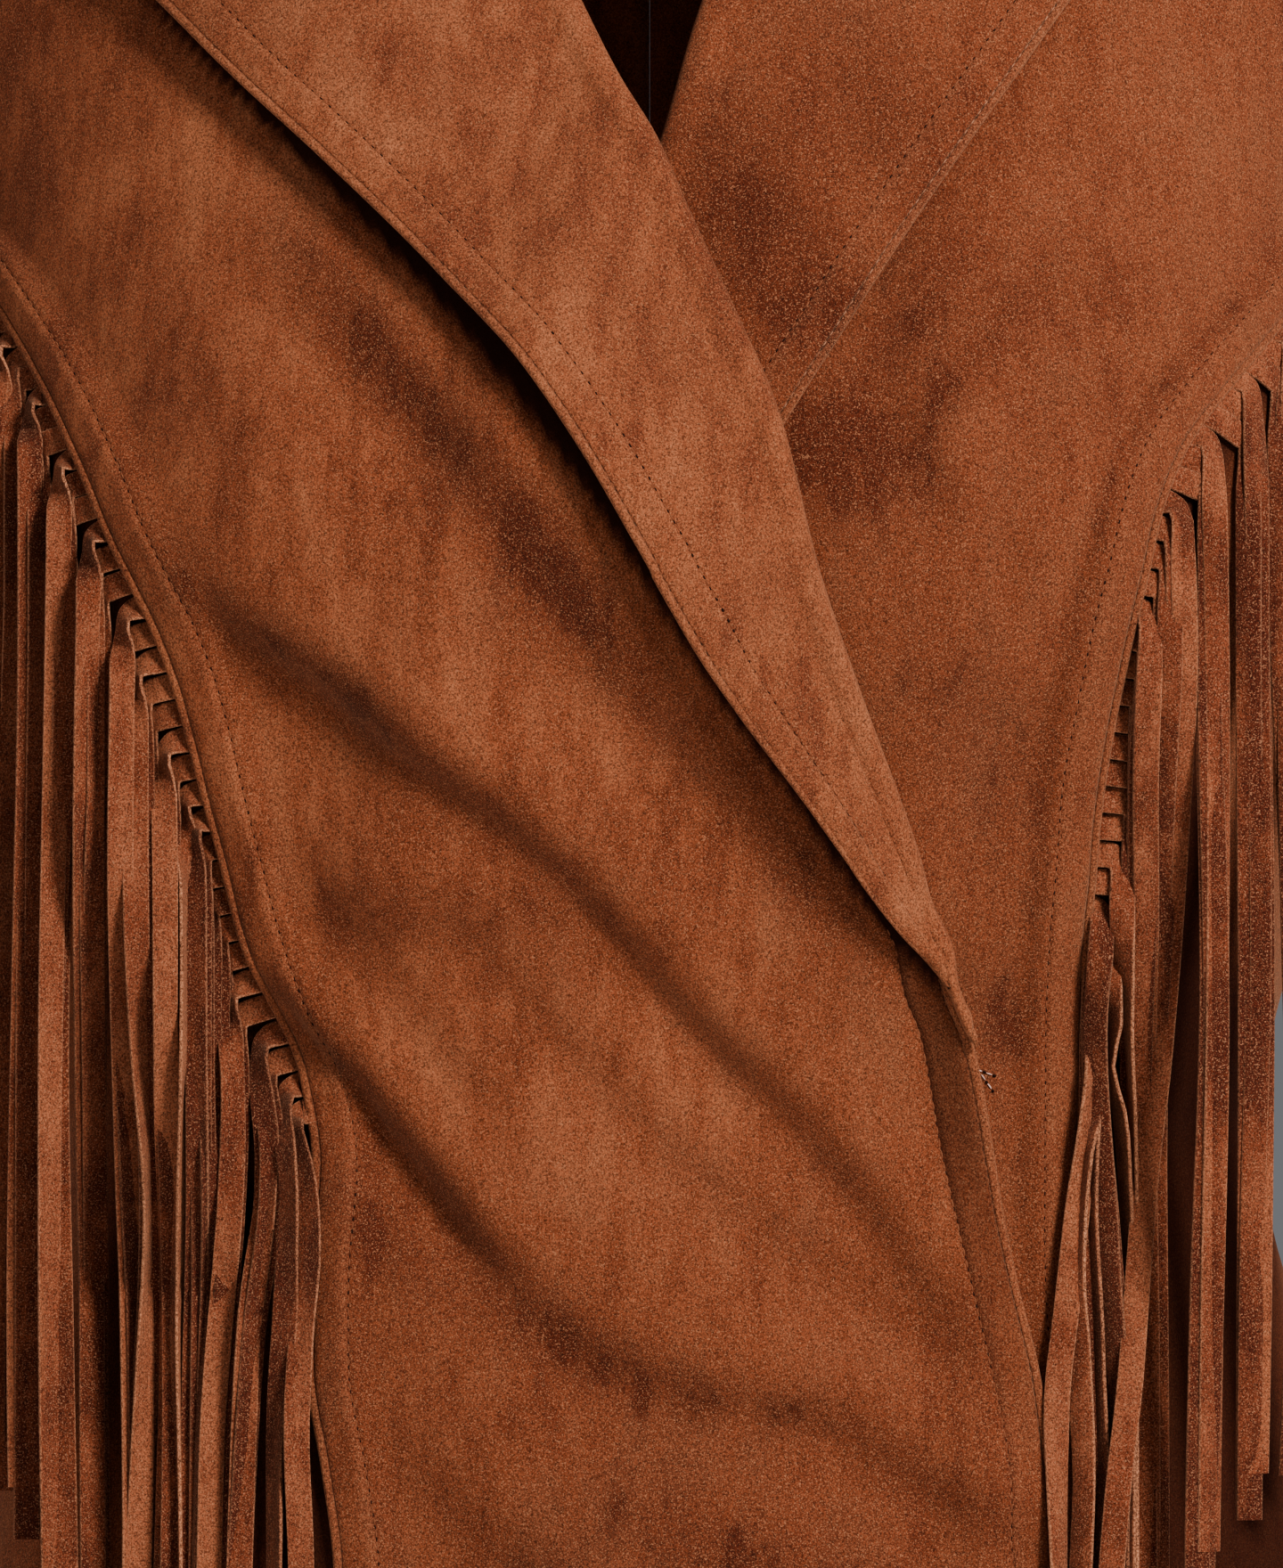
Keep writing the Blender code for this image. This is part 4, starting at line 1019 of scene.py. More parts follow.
def strand_line(side, number, root, heading, places, layer, forward, twist):
    """One strand's middle line, the way its width lies, and how far along it each point is past its bend."""
    free = SWING_FREE if number < SWING_FIRST[side] else SWING_BACK[side]
    turn = np.arccos(np.clip(-heading[1], -1, 1))
    start = root + heading * 0.3
    first = np.array([places[0, 1]])
    top = np.array([start[1] - 5.0])
    reach = first
    for _ in range(4):
        _, slope, size, away = hang(side, free, reach, top, root[1], ROOT_OFF + layer, 0.5)
        reach = first + slope / size * away
    room = max(float(reach[0]) - start[0], 1.2)
    radius = min(BEND, room / (1 - np.cos(turn)))
    straight = (room - radius * (1 - np.cos(turn))) / heading[0]
    bend = radius * turn
    length = STRAND_LONG + 5 * np.sin(2.3 * number) + 2.4 * np.sin(7.1 * number)
    way = np.concatenate([np.linspace(-5, 0, 3)[:-1], np.linspace(0, straight, 4)[:-1]])
    way = np.concatenate([way, straight + np.linspace(0, bend, 8)[:-1]])
    way = np.concatenate([way, straight + bend + np.linspace(0, 1, 40) ** 1.3 * (length - bend - straight)])
    past = way - straight - bend
    angle = turn * (1 - np.clip((way - straight) / bend, 0, 1))
    before = np.minimum(way, straight)
    x = start[0] + before * heading[0] + radius * (np.cos(angle) - np.cos(turn))
    z = start[1] + before * heading[1] - radius * (np.sin(turn) - np.sin(angle)) - np.maximum(past, 0)
    face = through(places[:, 0], places[:, 2], -z)
    ease = ramp(past / 16)
    away_turn = np.arctan(-hang(side, free, np.full(len(z), reach[0]), z, root[1], ROOT_OFF + layer, 0.0)[1])
    yaw = (face + away_turn) * ease + np.radians(twist) * hump((past - 1.5) / 5.5)
    yaw = yaw + np.radians(5) * np.sin(past / 31 + number) * ease
    rise = ramp((way - straight) / (bend + 3))
    tab = 1.25 * ramp((way - 0.2) / 2.4) * (1 - rise)
    off = ROOT_OFF + tab + layer * rise + 2.6 * np.abs(np.sin(yaw)) + forward * ramp((-395 - z) / 60)
    seen = through(places[:, 0], places[:, 1], -z)
    plain_x = x.copy()
    for _ in range(4):
        here, slope, size, away = hang(side, free, x, z, root[1], off, 1 - ramp(way / 20))
        x = plain_x + (seen + slope / size * away - plain_x) * ramp((past + 3) / 9)
    here, slope, size, away = hang(side, free, x, z, root[1], off, 1 - ramp(way / 20))
    line = np.stack([side * (x - slope / size * away), -here - away / size, z], -1)
    plain = np.stack([side / size, -slope / size, 0 * x], -1)
    out = np.stack([-side * slope / size, -1 / size, 0 * x], -1)
    flat = np.cos(angle)[:, None] * plain + np.sin(angle)[:, None] * np.array([0, 0, 1.0])
    across = np.cos(yaw)[:, None] * flat + np.sin(yaw)[:, None] * out
    return line, across, past


def fringe_lines(side):
    """The strands of one side, each a line, the way its width lies there, its width and its tone."""
    seam = even_steps(princess_line(side), 300)
    z = np.linspace(FRINGE_TOP, FRINGE_END, 900)
    x = np.interp(-z, -seam[:, 2], np.abs(seam[:, 0]))
    line = on_front(x, z)
    way = way_along(line)
    count = int((way[-1] - 2 * FRINGE_FIRST) // PITCH) + 1
    middles = FRINGE_FIRST + PITCH * np.arange(count)
    roots = np.stack([np.interp(middles, way, line[:, k]) for k in range(3)], -1)[:, [0, 2]]
    ends = [np.stack([np.interp(middles + d, way, line[:, k]) for k in (0, 2)], -1) for d in (-2.5, 2.5)]
    tangent = ends[1] - ends[0]
    heading = unit(np.stack([-tangent[:, 1], tangent[:, 0]], -1))
    table = SHOWN_RIGHT if side < 0 else SHOWN_LEFT
    leads = [k for k in table if table[k][1]]
    made = []
    for k in range(count):
        lead = max(n for n in leads if n <= k)
        behind = sum(1 for n in range(lead + 1, k + 1) if n not in table)
        layer, inward, upper, lower, places = table[k] if k in table else table[lead]
        forward = IN_FRONT[side].get(k, 0.0)
        depths = -roots[lead, 1] + np.array([6.0, 60, 130, 200, 300])
        if not places:
            swing = np.sin(depths / 61 + 0.7 * side + 0.2 * lead)
            wide = 5.3 + 0.4 * np.sin(2.9 * lead + depths / 70)
            places = list(zip(depths, roots[lead, 0] + HUNG_OUT + 1.3 * (swing - swing[0]), -side * wide))
        places = np.array(list(places) + [(places[-1][0] + 130, places[-1][1] + 0.6, places[-1][2])], float)
        places[:, 2] = np.sign(places[:, 2]) * np.arccos(np.minimum(np.abs(places[:, 2]) / 5.85, 1))
        twist = TURNED_OUT[side] * (k in table)
        if k not in table:
            depth = places[:, 0]
            swing = 1.0 * np.sin(depth / 47 + 1.3 * k) * ramp((depth - depth[0]) / 60)
            aside = inward * behind * (1 - 0.35 * ramp((depth - depth[0]) / 120))
            places[:, 1] = np.maximum(places[:, 1] + swing - aside, roots[k, 0] + 2.8)
            places[:, 2] = np.radians(-12 * side + 14 * np.sin(1.9 * k + depth / 40))
            layer = max(layer - LAYER * behind, 0.12 * (k % 3))
            upper, lower = BEHIND_SHADE_TONES[side][lead >= 14]
        places = places[places[:, 0] > -roots[k, 1] + 3]
        path, across, past = strand_line(side, k, roots[k], heading[k], places, layer, forward, twist)
        share = np.linspace(0, 1, len(path))
        wide = 1 + 0.04 * np.sin(5.3 * k + 4 * share) * ramp(past / 20)
        wide = wide + (STRAND_ROOT / STRAND_WIDE - 1) * (1 - ramp((past + 5) / 6))
        # Tone below the bend, with painted shade in it: darker for hidden strands and at a shown strand's
        # bend
        down = upper + (lower - upper) * ramp((-path[:, 2] - 398) / 45)
        down = down - BEND_SHADE[side] * hump((past - 3) / 5) * (k in table)
        hanging = ramp((past + 2.5) / 4)
        tone = (0.30 + 0.2 * np.sin(2.7 * k)) * (1 - hanging) + down * hanging
        made.append((path, across, wide, tone))
    return made


# ---------------------------------------------------------------------------------- meshes


def new_object(name, mesh):
    thing = bpy.data.objects.new(name, mesh)
    bpy.context.scene.collection.objects.link(thing)
    return thing


def point_values(mesh, name, values):
    """Gives the mesh a named value at each of its points, a number or a vector."""
    values = np.asarray(values, np.float32)
    kind, field = ("FLOAT", "value") if values.ndim == 1 else ("FLOAT_VECTOR", "vector")
    layer = mesh.attributes.new(name, kind, "POINT")
    layer.data.foreach_set(field, values.ravel())


def hem_rows(grid):
    """The grid with more rows just above its last one, so that the cut edge can be round."""
    up = unit(grid[-2] - grid[-1])
    return np.concatenate([grid[:-1], [grid[-1] + up * step for step in (1.5, 0.8, 0.35)], grid[-1:]])


def edge_distance(grid, sides):
    """How far each point of the grid is from the nearest of the named edges."""
    found = np.full(grid.shape[:2], 99.0)
    way, drop = ways(grid, 1), ways(grid, 0)
    far = {"start": way, "end": way[:, -1:] - way, "top": drop, "bottom": drop[-1:] - drop}
    for side in sides:
        found = np.minimum(found, far[side])
    return found


def nap_patches(points, table):
    """How dark the brushed places of this table are at these points."""
    x, _, z = np.moveaxis(points, -1, 0)
    found = np.zeros(x.shape)
    for across, depth, half_long, half_wide, lean, strength in table:
        lean = np.radians(lean)
        du, dv = x - across, -z - depth
        along = du * np.sin(lean) + dv * np.cos(lean)
        aside = du * np.cos(lean) - dv * np.sin(lean)
        found += strength * hump(along / half_long) * hump(aside / half_wide)
    return found


def nap_and_shade_at(points):
    """How dark the body's cloth is at these points: its brushed places, shade painted on the steep sides of
    the folds, and in front darker towards the hem and, above that, towards the wearer's left.
    """
    x, y, z = np.moveaxis(points, -1, 0)
    found = nap_patches(points, NAP_FRONT)
    # shade painted on the steep sides of the front's folds
    found += 0.42 * fold_painted_shade(x, -z, FRONT_FOLDS)
    low = ramp((-z - 370) / 60)
    found += 0.22 * low + 0.28 * ramp((x - 5) / 40) * (1 - 0.9 * low)
    return found * ramp((-y - 6) / 30) + 0.6 * fold_painted_shade(x, -z, BACK_FOLDS) * ramp((y - 6) / 30)


def lapel_shade(points, side):
    """How deep in the shade of its lapel's edge each point of a front is."""
    table = lapel_table(side)
    depths = np.linspace(table[0, 0], table[-1, 0] - 8, 200)
    outer = smooth(table, depths)
    stand = outer[:, 2] / 7.5
    wide = 2.6 * stand**0.8
    du = points[..., 0][..., None] - outer[:, 0]
    dv = -points[..., 2][..., None] - outer[:, 1]
    gap = np.hypot(du, dv)
    best = gap.argmin(-1)
    away = np.take_along_axis(gap, best[..., None], -1)[..., 0]
    return ramp(stand[best] / 0.3) * (1 - ramp((away - wide[best]) / 2.0))


def band_shade(distance, down):
    """How shaded a free edge's band is below its lapel, this far from the edge and this far down."""
    full = ramp((down - 350) / 8) * (1 - ramp((down - 396) / 90))
    band = ramp((distance - 2.4) / 0.7) * (1 - ramp((distance - 8.8) / 2.6))
    lines = hump((distance - 2.3) / 0.5) + hump((distance - 9.8) / 0.9)
    return full * (0.52 * band + 0.30 * lines)


def fringe_shade(points, side):
    """How deep in the shade of the fringe each point of a side front is."""
    x, _, z = np.moveaxis(points, -1, 0)
    out = np.abs(x) - seam_x(side, z)
    reach = 9 + 34 * ramp((-z - 240) / 200)
    return 0.86 * (1 - ramp((out - reach) / 12)) * ramp((-z - 214) / 14) * (1 - ramp((-z - 520) / 60))


def row_dark(distance):
    """How dark the two stitched rows are this far from the edge."""
    return 0.16 * hump((distance - EDGE_ROW) / 0.5) + 0.10 * hump((distance - INNER_ROW) / 0.6)


def row_worn(distance):
    """How much the ridges beside two stitched rows are rubbed pale."""
    return 0.14 * hump((distance - 1.0) / 0.8) + 0.12 * hump((distance - INNER_ROW + 1.2) / 0.7)


def cloth(name, grid, thick, material, nap_and_shade, around=False, rounded=(), worn=(), rubbed=0.0, shade=0.0):
    """A sheet through the grid's points with a wall, whose named edges are rounded and worn pale."""
    rows, columns = grid.shape[:2]
    faces = []
    for row in range(rows - 1):
        for column in range(columns if around else columns - 1):
            after = (column + 1) % columns
            a, b = row * columns + column, row * columns + after
            faces.append((a, b, b + columns, a + columns))
    mesh = bpy.data.meshes.new(name)
    mesh.from_pydata((grid.reshape(-1, 3) * MM).tolist(), [], faces)
    mesh.polygons.foreach_set("use_smooth", [True] * len(mesh.polygons))
    mesh.materials.append(material)
    edge = edge_distance(grid, worn)
    point_values(mesh, "nap_and_shade", nap_and_shade.ravel())
    pale = np.broadcast_to(0.30 * (1 - ramp(edge / 0.8)) + rubbed, grid.shape[:2])
    point_values(mesh, "cut_edge", pale.ravel())
    point_values(mesh, "shade", np.broadcast_to(shade, grid.shape[:2]).ravel())
    piece = new_object(name, mesh)
    full = piece.vertex_groups.new(name="full")
    near = edge_distance(grid, rounded).ravel()
    share = np.sqrt(np.clip(1 - (1 - np.minimum(near, SOFT_EDGE) / SOFT_EDGE) ** 2, 0.09, 1))
    thin = np.nonzero(share < 0.999)[0]
    full.add(np.nonzero(share >= 0.999)[0].tolist(), 1.0, "REPLACE")
    for k in thin:
        full.add([int(k)], float(share[k]), "REPLACE")
    wall = piece.modifiers.new("Wall", "SOLIDIFY")
    wall.thickness = thick * MM
    wall.offset = 0
    wall.use_even_offset = False
    wall.use_quality_normals = True
    wall.vertex_group = "full"
    wall.thickness_vertex_group = 0
    return piece


def faces_out(grid, centre=None):
    """Unit vectors out of the grid's outer face."""
    down = np.gradient(grid, axis=0)
    across = np.gradient(grid, axis=1)
    normal = unit(np.cross(across, down))
    away = outward(grid) if centre is None else unit(grid - centre)
    sign = np.sign(np.sum(normal * away, -1, keepdims=True))
    return normal * np.where(sign == 0, 1, sign)


def row_on(grid, column, thick, first, last):
    """A row of topstitching that lies on the outer face, down one column of the grid."""
    out = faces_out(grid)[:, column]
    line = grid[:, column] + out * (thick / 2 + 0.02)
    return line[first:last], out[first:last]


def row_across(grid, up, thick, sides=(0, None), centre=None):
    """A row of topstitching that lies on the outer face, this far above the grid's last row."""
    way = ways(grid[::-1], 0)
    out = faces_out(grid, centre)[::-1]
    face = grid[::-1] + out * (thick / 2 + 0.02)
    line, ups = [], []
    for column in range(grid.shape[1]):
        line.append([np.interp(up, way[:, column], face[:, column, k]) for k in range(3)])
        ups.append([np.interp(up, way[:, column], out[:, column, k]) for k in range(3)])
    return np.array(line)[sides[0] : sides[1]], np.array(ups)[sides[0] : sides[1]]


def tack_rows(grid):
    """The two short rows of the thread tack that held the closure."""
    out = faces_out(grid)
    rows = []
    for path in TACK:
        line, ups = [], []
        for x, depth in path:
            gap = np.hypot(grid[..., 0] - x, -grid[..., 2] - depth)
            row, column = np.unravel_index(gap.argmin(), gap.shape)
            up = out[row, column]
            near = grid[row, column] + up * (CLOTH / 2 + 0.25)
            dx, dz = x - near[0], -depth - near[2]
            line.append(near + np.array([dx, -(up[0] * dx + up[2] * dz) / up[1], dz]))
            ups.append(up)
        rows.append((np.array(line), np.array(ups)))
    return rows


# ---------------------------------------------------------------------------------- repeated things


def line_mesh(name, lines):
    """Edges through each line's points. A line is a list of points followed by its named values."""
    mesh = bpy.data.meshes.new(name)
    points = np.concatenate([line["at"] for line in lines])
    starts = np.cumsum([0] + [len(line["at"]) for line in lines])
    edges = []
    for first, last in zip(starts[:-1], starts[1:]):
        edges += [(k, k + 1) for k in range(first, last - 1)]
    mesh.from_pydata((points * MM).tolist(), edges, [])
    for key in lines[0]:
        if key != "at":
            point_values(mesh, key, np.concatenate([line[key] for line in lines]))
    return mesh


def tree_of(name, inputs):
    """An empty Geometry Nodes tree with a geometry input and these named inputs."""
    tree = bpy.data.node_groups.new(name, "GeometryNodeTree")
    tree.interface.new_socket("Geometry", in_out="INPUT", socket_type="NodeSocketGeometry")
    for label, kind in inputs:
        tree.interface.new_socket(label, in_out="INPUT", socket_type=kind)
    tree.interface.new_socket("Geometry", in_out="OUTPUT", socket_type="NodeSocketGeometry")
    return tree


def add(tree, kind, **values):
    """A node of the tree. Each value is a setting of the node, or an input's socket or constant."""
    node = tree.nodes.new(kind)
    for key, value in values.items():
        if hasattr(node, key) and not key.startswith("in_"):
            setattr(node, key, value)
            continue
        label = key.removeprefix("in_")
        label = int(label) if label.isdigit() else label.replace("_", " ")
        if isinstance(value, bpy.types.NodeSocket):
            tree.links.new(value, node.inputs[label])
        else:
            node.inputs[label].default_value = value
    return node


def named(tree, label, kind="FLOAT"):
    node = add(tree, "GeometryNodeInputNamedAttribute", data_type=kind, in_Name=label)
    return next(socket for socket in node.outputs if socket.enabled and socket.name == "Attribute")


def run_tree(name, mesh, tree, values):
    """The plain mesh that the tree makes of this one, as an object."""
    maker = new_object("maker_" + name, mesh)
    modifier = maker.modifiers.new("Make", "NODES")
    modifier.node_group = tree
    for item in tree.interface.items_tree:
        if item.in_out == "INPUT" and item.name in values:
            modifier[item.identifier] = values[item.name]
    graph = bpy.context.evaluated_depsgraph_get()
    finished = maker.evaluated_get(graph)
    made = bpy.data.meshes.new_from_object(finished, preserve_all_data_layers=True, depsgraph=graph)
    made.name = name
    bpy.data.objects.remove(maker, do_unlink=True)
    return new_object(name, made)


def stitch_shape():
    """One stitch: a short thread, round, that dips at both ends, and a flat disc, dark with painted shade,
    for the hole that it comes out of.
    """
    mesh = bpy.data.meshes.new("stitch_shape")
    rings = ((-0.86, 0.62, -0.20), (-0.30, 1.0, 0.14), (0.30, 1.0, 0.14), (0.86, 0.62, -0.20))
    points = [(-1.05, 0, -0.75)]
    half, thick = STITCH_LONG / 2, STITCH_THICK / 2
    for along, fat, high in rings:
        for k in range(5):
            turn = 2 * math.pi * k / 5
            points.append((along, fat * math.cos(turn), high + fat * math.sin(turn)))
    points.append((1.05, 0, -0.75))
    faces = [(0, 1 + (k + 1) % 5, 1 + k) for k in range(5)]
    for ring in range(3):
        for k in range(5):
            a, b = 1 + 5 * ring + k, 1 + 5 * ring + (k + 1) % 5
            faces.append((a, b, b + 5, a + 5))
    faces += [(21, 16 + k, 16 + (k + 1) % 5) for k in range(5)]
    points = [(x * half, y * thick, z * thick) for x, y, z in points]
    middle = STITCH_PITCH / 2
    points += [(middle, 0, 0.09), (middle, 0, -0.15)]
    for k in range(6):
        turn = math.pi * k / 3
        points.append((middle + HOLE_LONG * math.cos(turn), HOLE_WIDE * math.sin(turn), 0.03))
    for k in range(6):
        a, b = 24 + k, 24 + (k + 1) % 6
        faces += [(22, a, b), (23, b, a)]
    mesh.from_pydata([(x * MM, y * MM, z * MM) for x, y, z in points], [], faces)
    mesh.polygons.foreach_set("use_smooth", [True] * len(mesh.polygons))
    point_values(mesh, "hole", [0.0] * 22 + [1.0] * 8)
    return mesh


def finish_tree(tree, geometry, material):
    """Ends the tree: its copies made real, and this material on them."""
    real = add(tree, "GeometryNodeRealizeInstances", in_Geometry=geometry.outputs[0])
    dyed = add(tree, "GeometryNodeSetMaterial", in_Geometry=real.outputs[0], in_Material=material)
    result = tree.nodes.new("NodeGroupOutput")
    tree.links.new(dyed.outputs[0], result.inputs[0])
    return tree


def stitch_tree():
    """Stitches of one shape at an even pitch along each line."""
    inputs = (("Stitch", "NodeSocketObject"), ("Pitch", "NodeSocketFloat"), ("Thread", "NodeSocketMaterial"))
    tree = tree_of("Stitches", inputs)
    given = tree.nodes.new("NodeGroupInput").outputs
    curve = add(tree, "GeometryNodeMeshToCurve", in_Mesh=given["Geometry"])
    even = add(tree, "GeometryNodeResampleCurve", mode="LENGTH", in_Curve=curve.outputs[0])
    tree.links.new(given["Pitch"], even.inputs["Length"])
    turn = add(tree, "FunctionNodeAxesToRotation", primary_axis="X", secondary_axis="Z")
    tree.links.new(add(tree, "GeometryNodeInputTangent").outputs[0], turn.inputs[0])
    tree.links.new(named(tree, "up", "FLOAT_VECTOR"), turn.inputs[1])
    shape = add(tree, "GeometryNodeObjectInfo", in_Object=given["Stitch"]).outputs["Geometry"]
    spots = add(tree, "GeometryNodeInstanceOnPoints", in_Points=even.outputs[0], in_Instance=shape)
    tree.links.new(turn.outputs[0], spots.inputs["Rotation"])
    return finish_tree(tree, spots, given["Thread"])


def strand_profile():
    """A strand's section, a thin band with worn round edges, as a closed loop."""
    half, thick = STRAND_WIDE / 2, STRAND_THICK / 2
    top = [(0.99, 0.5, 1), (0.945, 0.93, 0.45), (0.86, 1, 0), (0.3, 1, 0), (-0.3, 1, 0), (-0.86, 1, 0)]
    top += [(-0.945, 0.93, 0.45), (-0.99, 0.5, 1)]
    loop = top + [(x, -y, worn) for x, y, worn in reversed(top)]
    bow = [0.32 * (1 - x * x) for x, _, _ in loop]
    points = [(x * half * MM, (y * thick + b) * MM, 0) for (x, y, _), b in zip(loop, bow)]
    mesh = bpy.data.meshes.new("strand_profile")
    mesh.from_pydata(points, [(k, (k + 1) % len(loop)) for k in range(len(loop))], [])
    point_values(mesh, "cut_edge", [worn for _, _, worn in loop])
    return mesh


def strand_tree():
    """A band along each line, its width lying the way the line says."""
    tree = tree_of("Strands", (("Profile", "NodeSocketObject"), ("Suede", "NodeSocketMaterial")))
    given = tree.nodes.new("NodeGroupInput").outputs
    curve = add(tree, "GeometryNodeMeshToCurve", in_Mesh=given["Geometry"])
    sized = add(tree, "GeometryNodeSetCurveRadius", in_Curve=curve.outputs[0], in_Radius=named(tree, "wide"))
    laid = add(tree, "GeometryNodeSetCurveNormal", mode="FREE", in_Curve=sized.outputs[0])
    tree.links.new(named(tree, "across", "FLOAT_VECTOR"), laid.inputs["Normal"])
    shape = add(tree, "GeometryNodeObjectInfo", in_Object=given["Profile"])
    section = add(tree, "GeometryNodeMeshToCurve", in_Mesh=shape.outputs["Geometry"])
    bands = add(tree, "GeometryNodeCurveToMesh", in_Curve=laid.outputs[0], in_1=section.outputs[0])
    bands.inputs["Fill Caps"].default_value = True
    soft = add(tree, "GeometryNodeSetShadeSmooth", in_Geometry=bands.outputs[0])
    return finish_tree(tree, soft, given["Suede"])


# ---------------------------------------------------------------------------------- materials


def blend_colour(tree, factor, first, second):
    node = tree.nodes.new("ShaderNodeMix")
    node.data_type = "RGBA"
    for index, value in ((0, factor), (6, first), (7, second)):
        if isinstance(value, bpy.types.NodeSocket):
            tree.links.new(value, node.inputs[index])
        else:
            node.inputs[index].default_value = value if index == 0 else (*value, 1)
    return node.outputs[2]


def plus(tree, first, second):
    return add(tree, "ShaderNodeMath", operation="ADD", in_0=first, in_1=second).outputs[0]


def times(tree, first, second):
    return add(tree, "ShaderNodeMath", operation="MULTIPLY", in_0=first, in_1=second).outputs[0]


def rescale(tree, value, low, high, to_low=0.0, to_high=1.0):
    node = add(tree, "ShaderNodeMapRange", clamp=True)
    tree.links.new(value, node.inputs["Value"])
    for label, number in zip(("From Min", "From Max", "To Min", "To Max"), (low, high, to_low, to_high)):
        node.inputs[label].default_value = number
    return node.outputs[0]


def noise(tree, coords, scale, detail, stretch=(1, 1, 1), rough=0.55):
    placed = add(tree, "ShaderNodeMapping", in_Vector=coords, in_Scale=stretch)
    node = add(tree, "ShaderNodeTexNoise", in_Vector=placed.outputs[0])
    node.inputs["Scale"].default_value = scale
    node.inputs["Detail"].default_value = detail
    node.inputs["Roughness"].default_value = rough
    return node.outputs[0]


def new_material(name):
    """A material, with its tree, its shader and its object coordinates."""
    material = bpy.data.materials.new(name)
    material.use_nodes = True
    tree = material.node_tree
    return material, tree, tree.nodes["Principled BSDF"], add(tree, "ShaderNodeTexCoord").outputs["Object"]


def own_value(tree, label):
    return add(tree, "ShaderNodeAttribute", attribute_name=label).outputs["Fac"]


def suede(name, deep, middle, pale, fuzz, toned=False):
    """Brushed suede: mottled and streaked, with a fine speckle, darker where it is brushed down and
    where shade is painted.
    """
    material, tree, shader, coords = new_material(name)
    broad, mottle, streak, grain, speck = (noise(tree, coords, *row) for row in NAP_NOISE)
    tone = plus(tree, times(tree, broad, 0.22), times(tree, mottle, 0.52))
    tone = plus(tree, tone, times(tree, streak, 0.26))
    if toned:
        own = own_value(tree, "tone")
        tone = plus(tree, tone, times(tree, own, 0.13))
    low = blend_colour(tree, rescale(tree, tone, 0.40, 0.50), deep, middle)
    colour = blend_colour(tree, rescale(tree, tone, 0.50, 0.61), low, pale)
    # the point value read here holds the brushed places and the shade painted on folds and seam bands
    ragged = times(tree, own_value(tree, "nap_and_shade"), rescale(tree, mottle, 0.35, 0.62, 0.35, 1.35))
    streaked = times(tree, ragged, rescale(tree, streak, 0.3, 0.7, 0.7, 1.25))
    brushed = rescale(tree, streaked, 0.05, 0.9)
    dark = tuple(share * part for share, part in zip(BRUSHED_AND_SHADED, deep))
    colour = blend_colour(tree, brushed, colour, dark)
    rubbed = times(tree, own_value(tree, "cut_edge"), rescale(tree, grain, 0.38, 0.6, 0.25, 0.9))
    if toned:
        rubbed = times(tree, rubbed, rescale(tree, own, -1.1, 0.2, 0.30, 1.0))
    colour = blend_colour(tree, rubbed, colour, fuzz)
    shade = rescale(tree, grain, 0.35, 0.65, 0.28, 1.78)
    shaded = add(tree, "ShaderNodeVectorMath", operation="SCALE", in_0=colour, in_Scale=shade)
    light_speck = rescale(tree, speck, 0.56, 0.69, 0.0, 0.75)
    colour = blend_colour(tree, light_speck, shaded.outputs[0], fuzz)
    dark_speck = rescale(tree, speck, 0.42, 0.28, 0.0, 0.75)
    colour = blend_colour(tree, dark_speck, colour, dark)
    hidden = own_value(tree, "shade")
    colour = blend_colour(tree, hidden, colour, tuple(0.22 * part for part in dark))
    tree.links.new(colour, shader.inputs["Base Color"])
    sheen = rescale(tree, hidden, 0.0, 0.6, SHEEN, 0.0)
    tree.links.new(sheen, shader.inputs["Sheen Weight"])
    fine = add(tree, "ShaderNodeBump", in_Height=grain, in_Strength=0.8, in_Distance=0.0004)
    soft = add(tree, "ShaderNodeBump", in_Height=mottle, in_Strength=0.5, in_Distance=0.0012)
    tree.links.new(soft.outputs[0], fine.inputs["Normal"])
    tree.links.new(fine.outputs[0], shader.inputs["Normal"])
    shader.inputs["Roughness"].default_value = 0.92
    shader.inputs["Specular IOR Level"].default_value = 0.07
    shader.inputs["Sheen Roughness"].default_value = 0.45
    shader.inputs["Sheen Tint"].default_value = (1.0, 0.56, 0.33, 1)
    return material


def thread(name, colour, other):
    """Thread, with a little change of colour along it, and painted shade on the discs of its holes."""
    material, tree, shader, coords = new_material(name)
    change = rescale(tree, noise(tree, coords, 240.0, 2.0), 0.35, 0.65)
    twisted = blend_colour(tree, change, colour, other)
    tree.links.new(blend_colour(tree, own_value(tree, "hole"), twisted, HOLE_SHADE), shader.inputs["Base Color"])
    shader.inputs["Roughness"].default_value = 0.85
    shader.inputs["Specular IOR Level"].default_value = 0.1
    return material


# ---------------------------------------------------------------------------------- the jacket

# Colours. Suede: deep, middle and pale nap, then fuzz at the cut edges. Thread: its two shades.
BODY_COLOURS = ((0.108, 0.0215, 0.0078), (0.190, 0.045, 0.0160), (0.265, 0.077, 0.0300), (0.40, 0.155, 0.072))
FACED_COLOURS = ((0.124, 0.028, 0.0110), (0.200, 0.052, 0.0195), (0.264, 0.082, 0.034), (0.40, 0.155, 0.072))
STRAND_COLOURS = ((0.058, 0.0100, 0.0042), (0.136, 0.029, 0.0110), (0.236, 0.066, 0.027), (0.42, 0.17, 0.085))
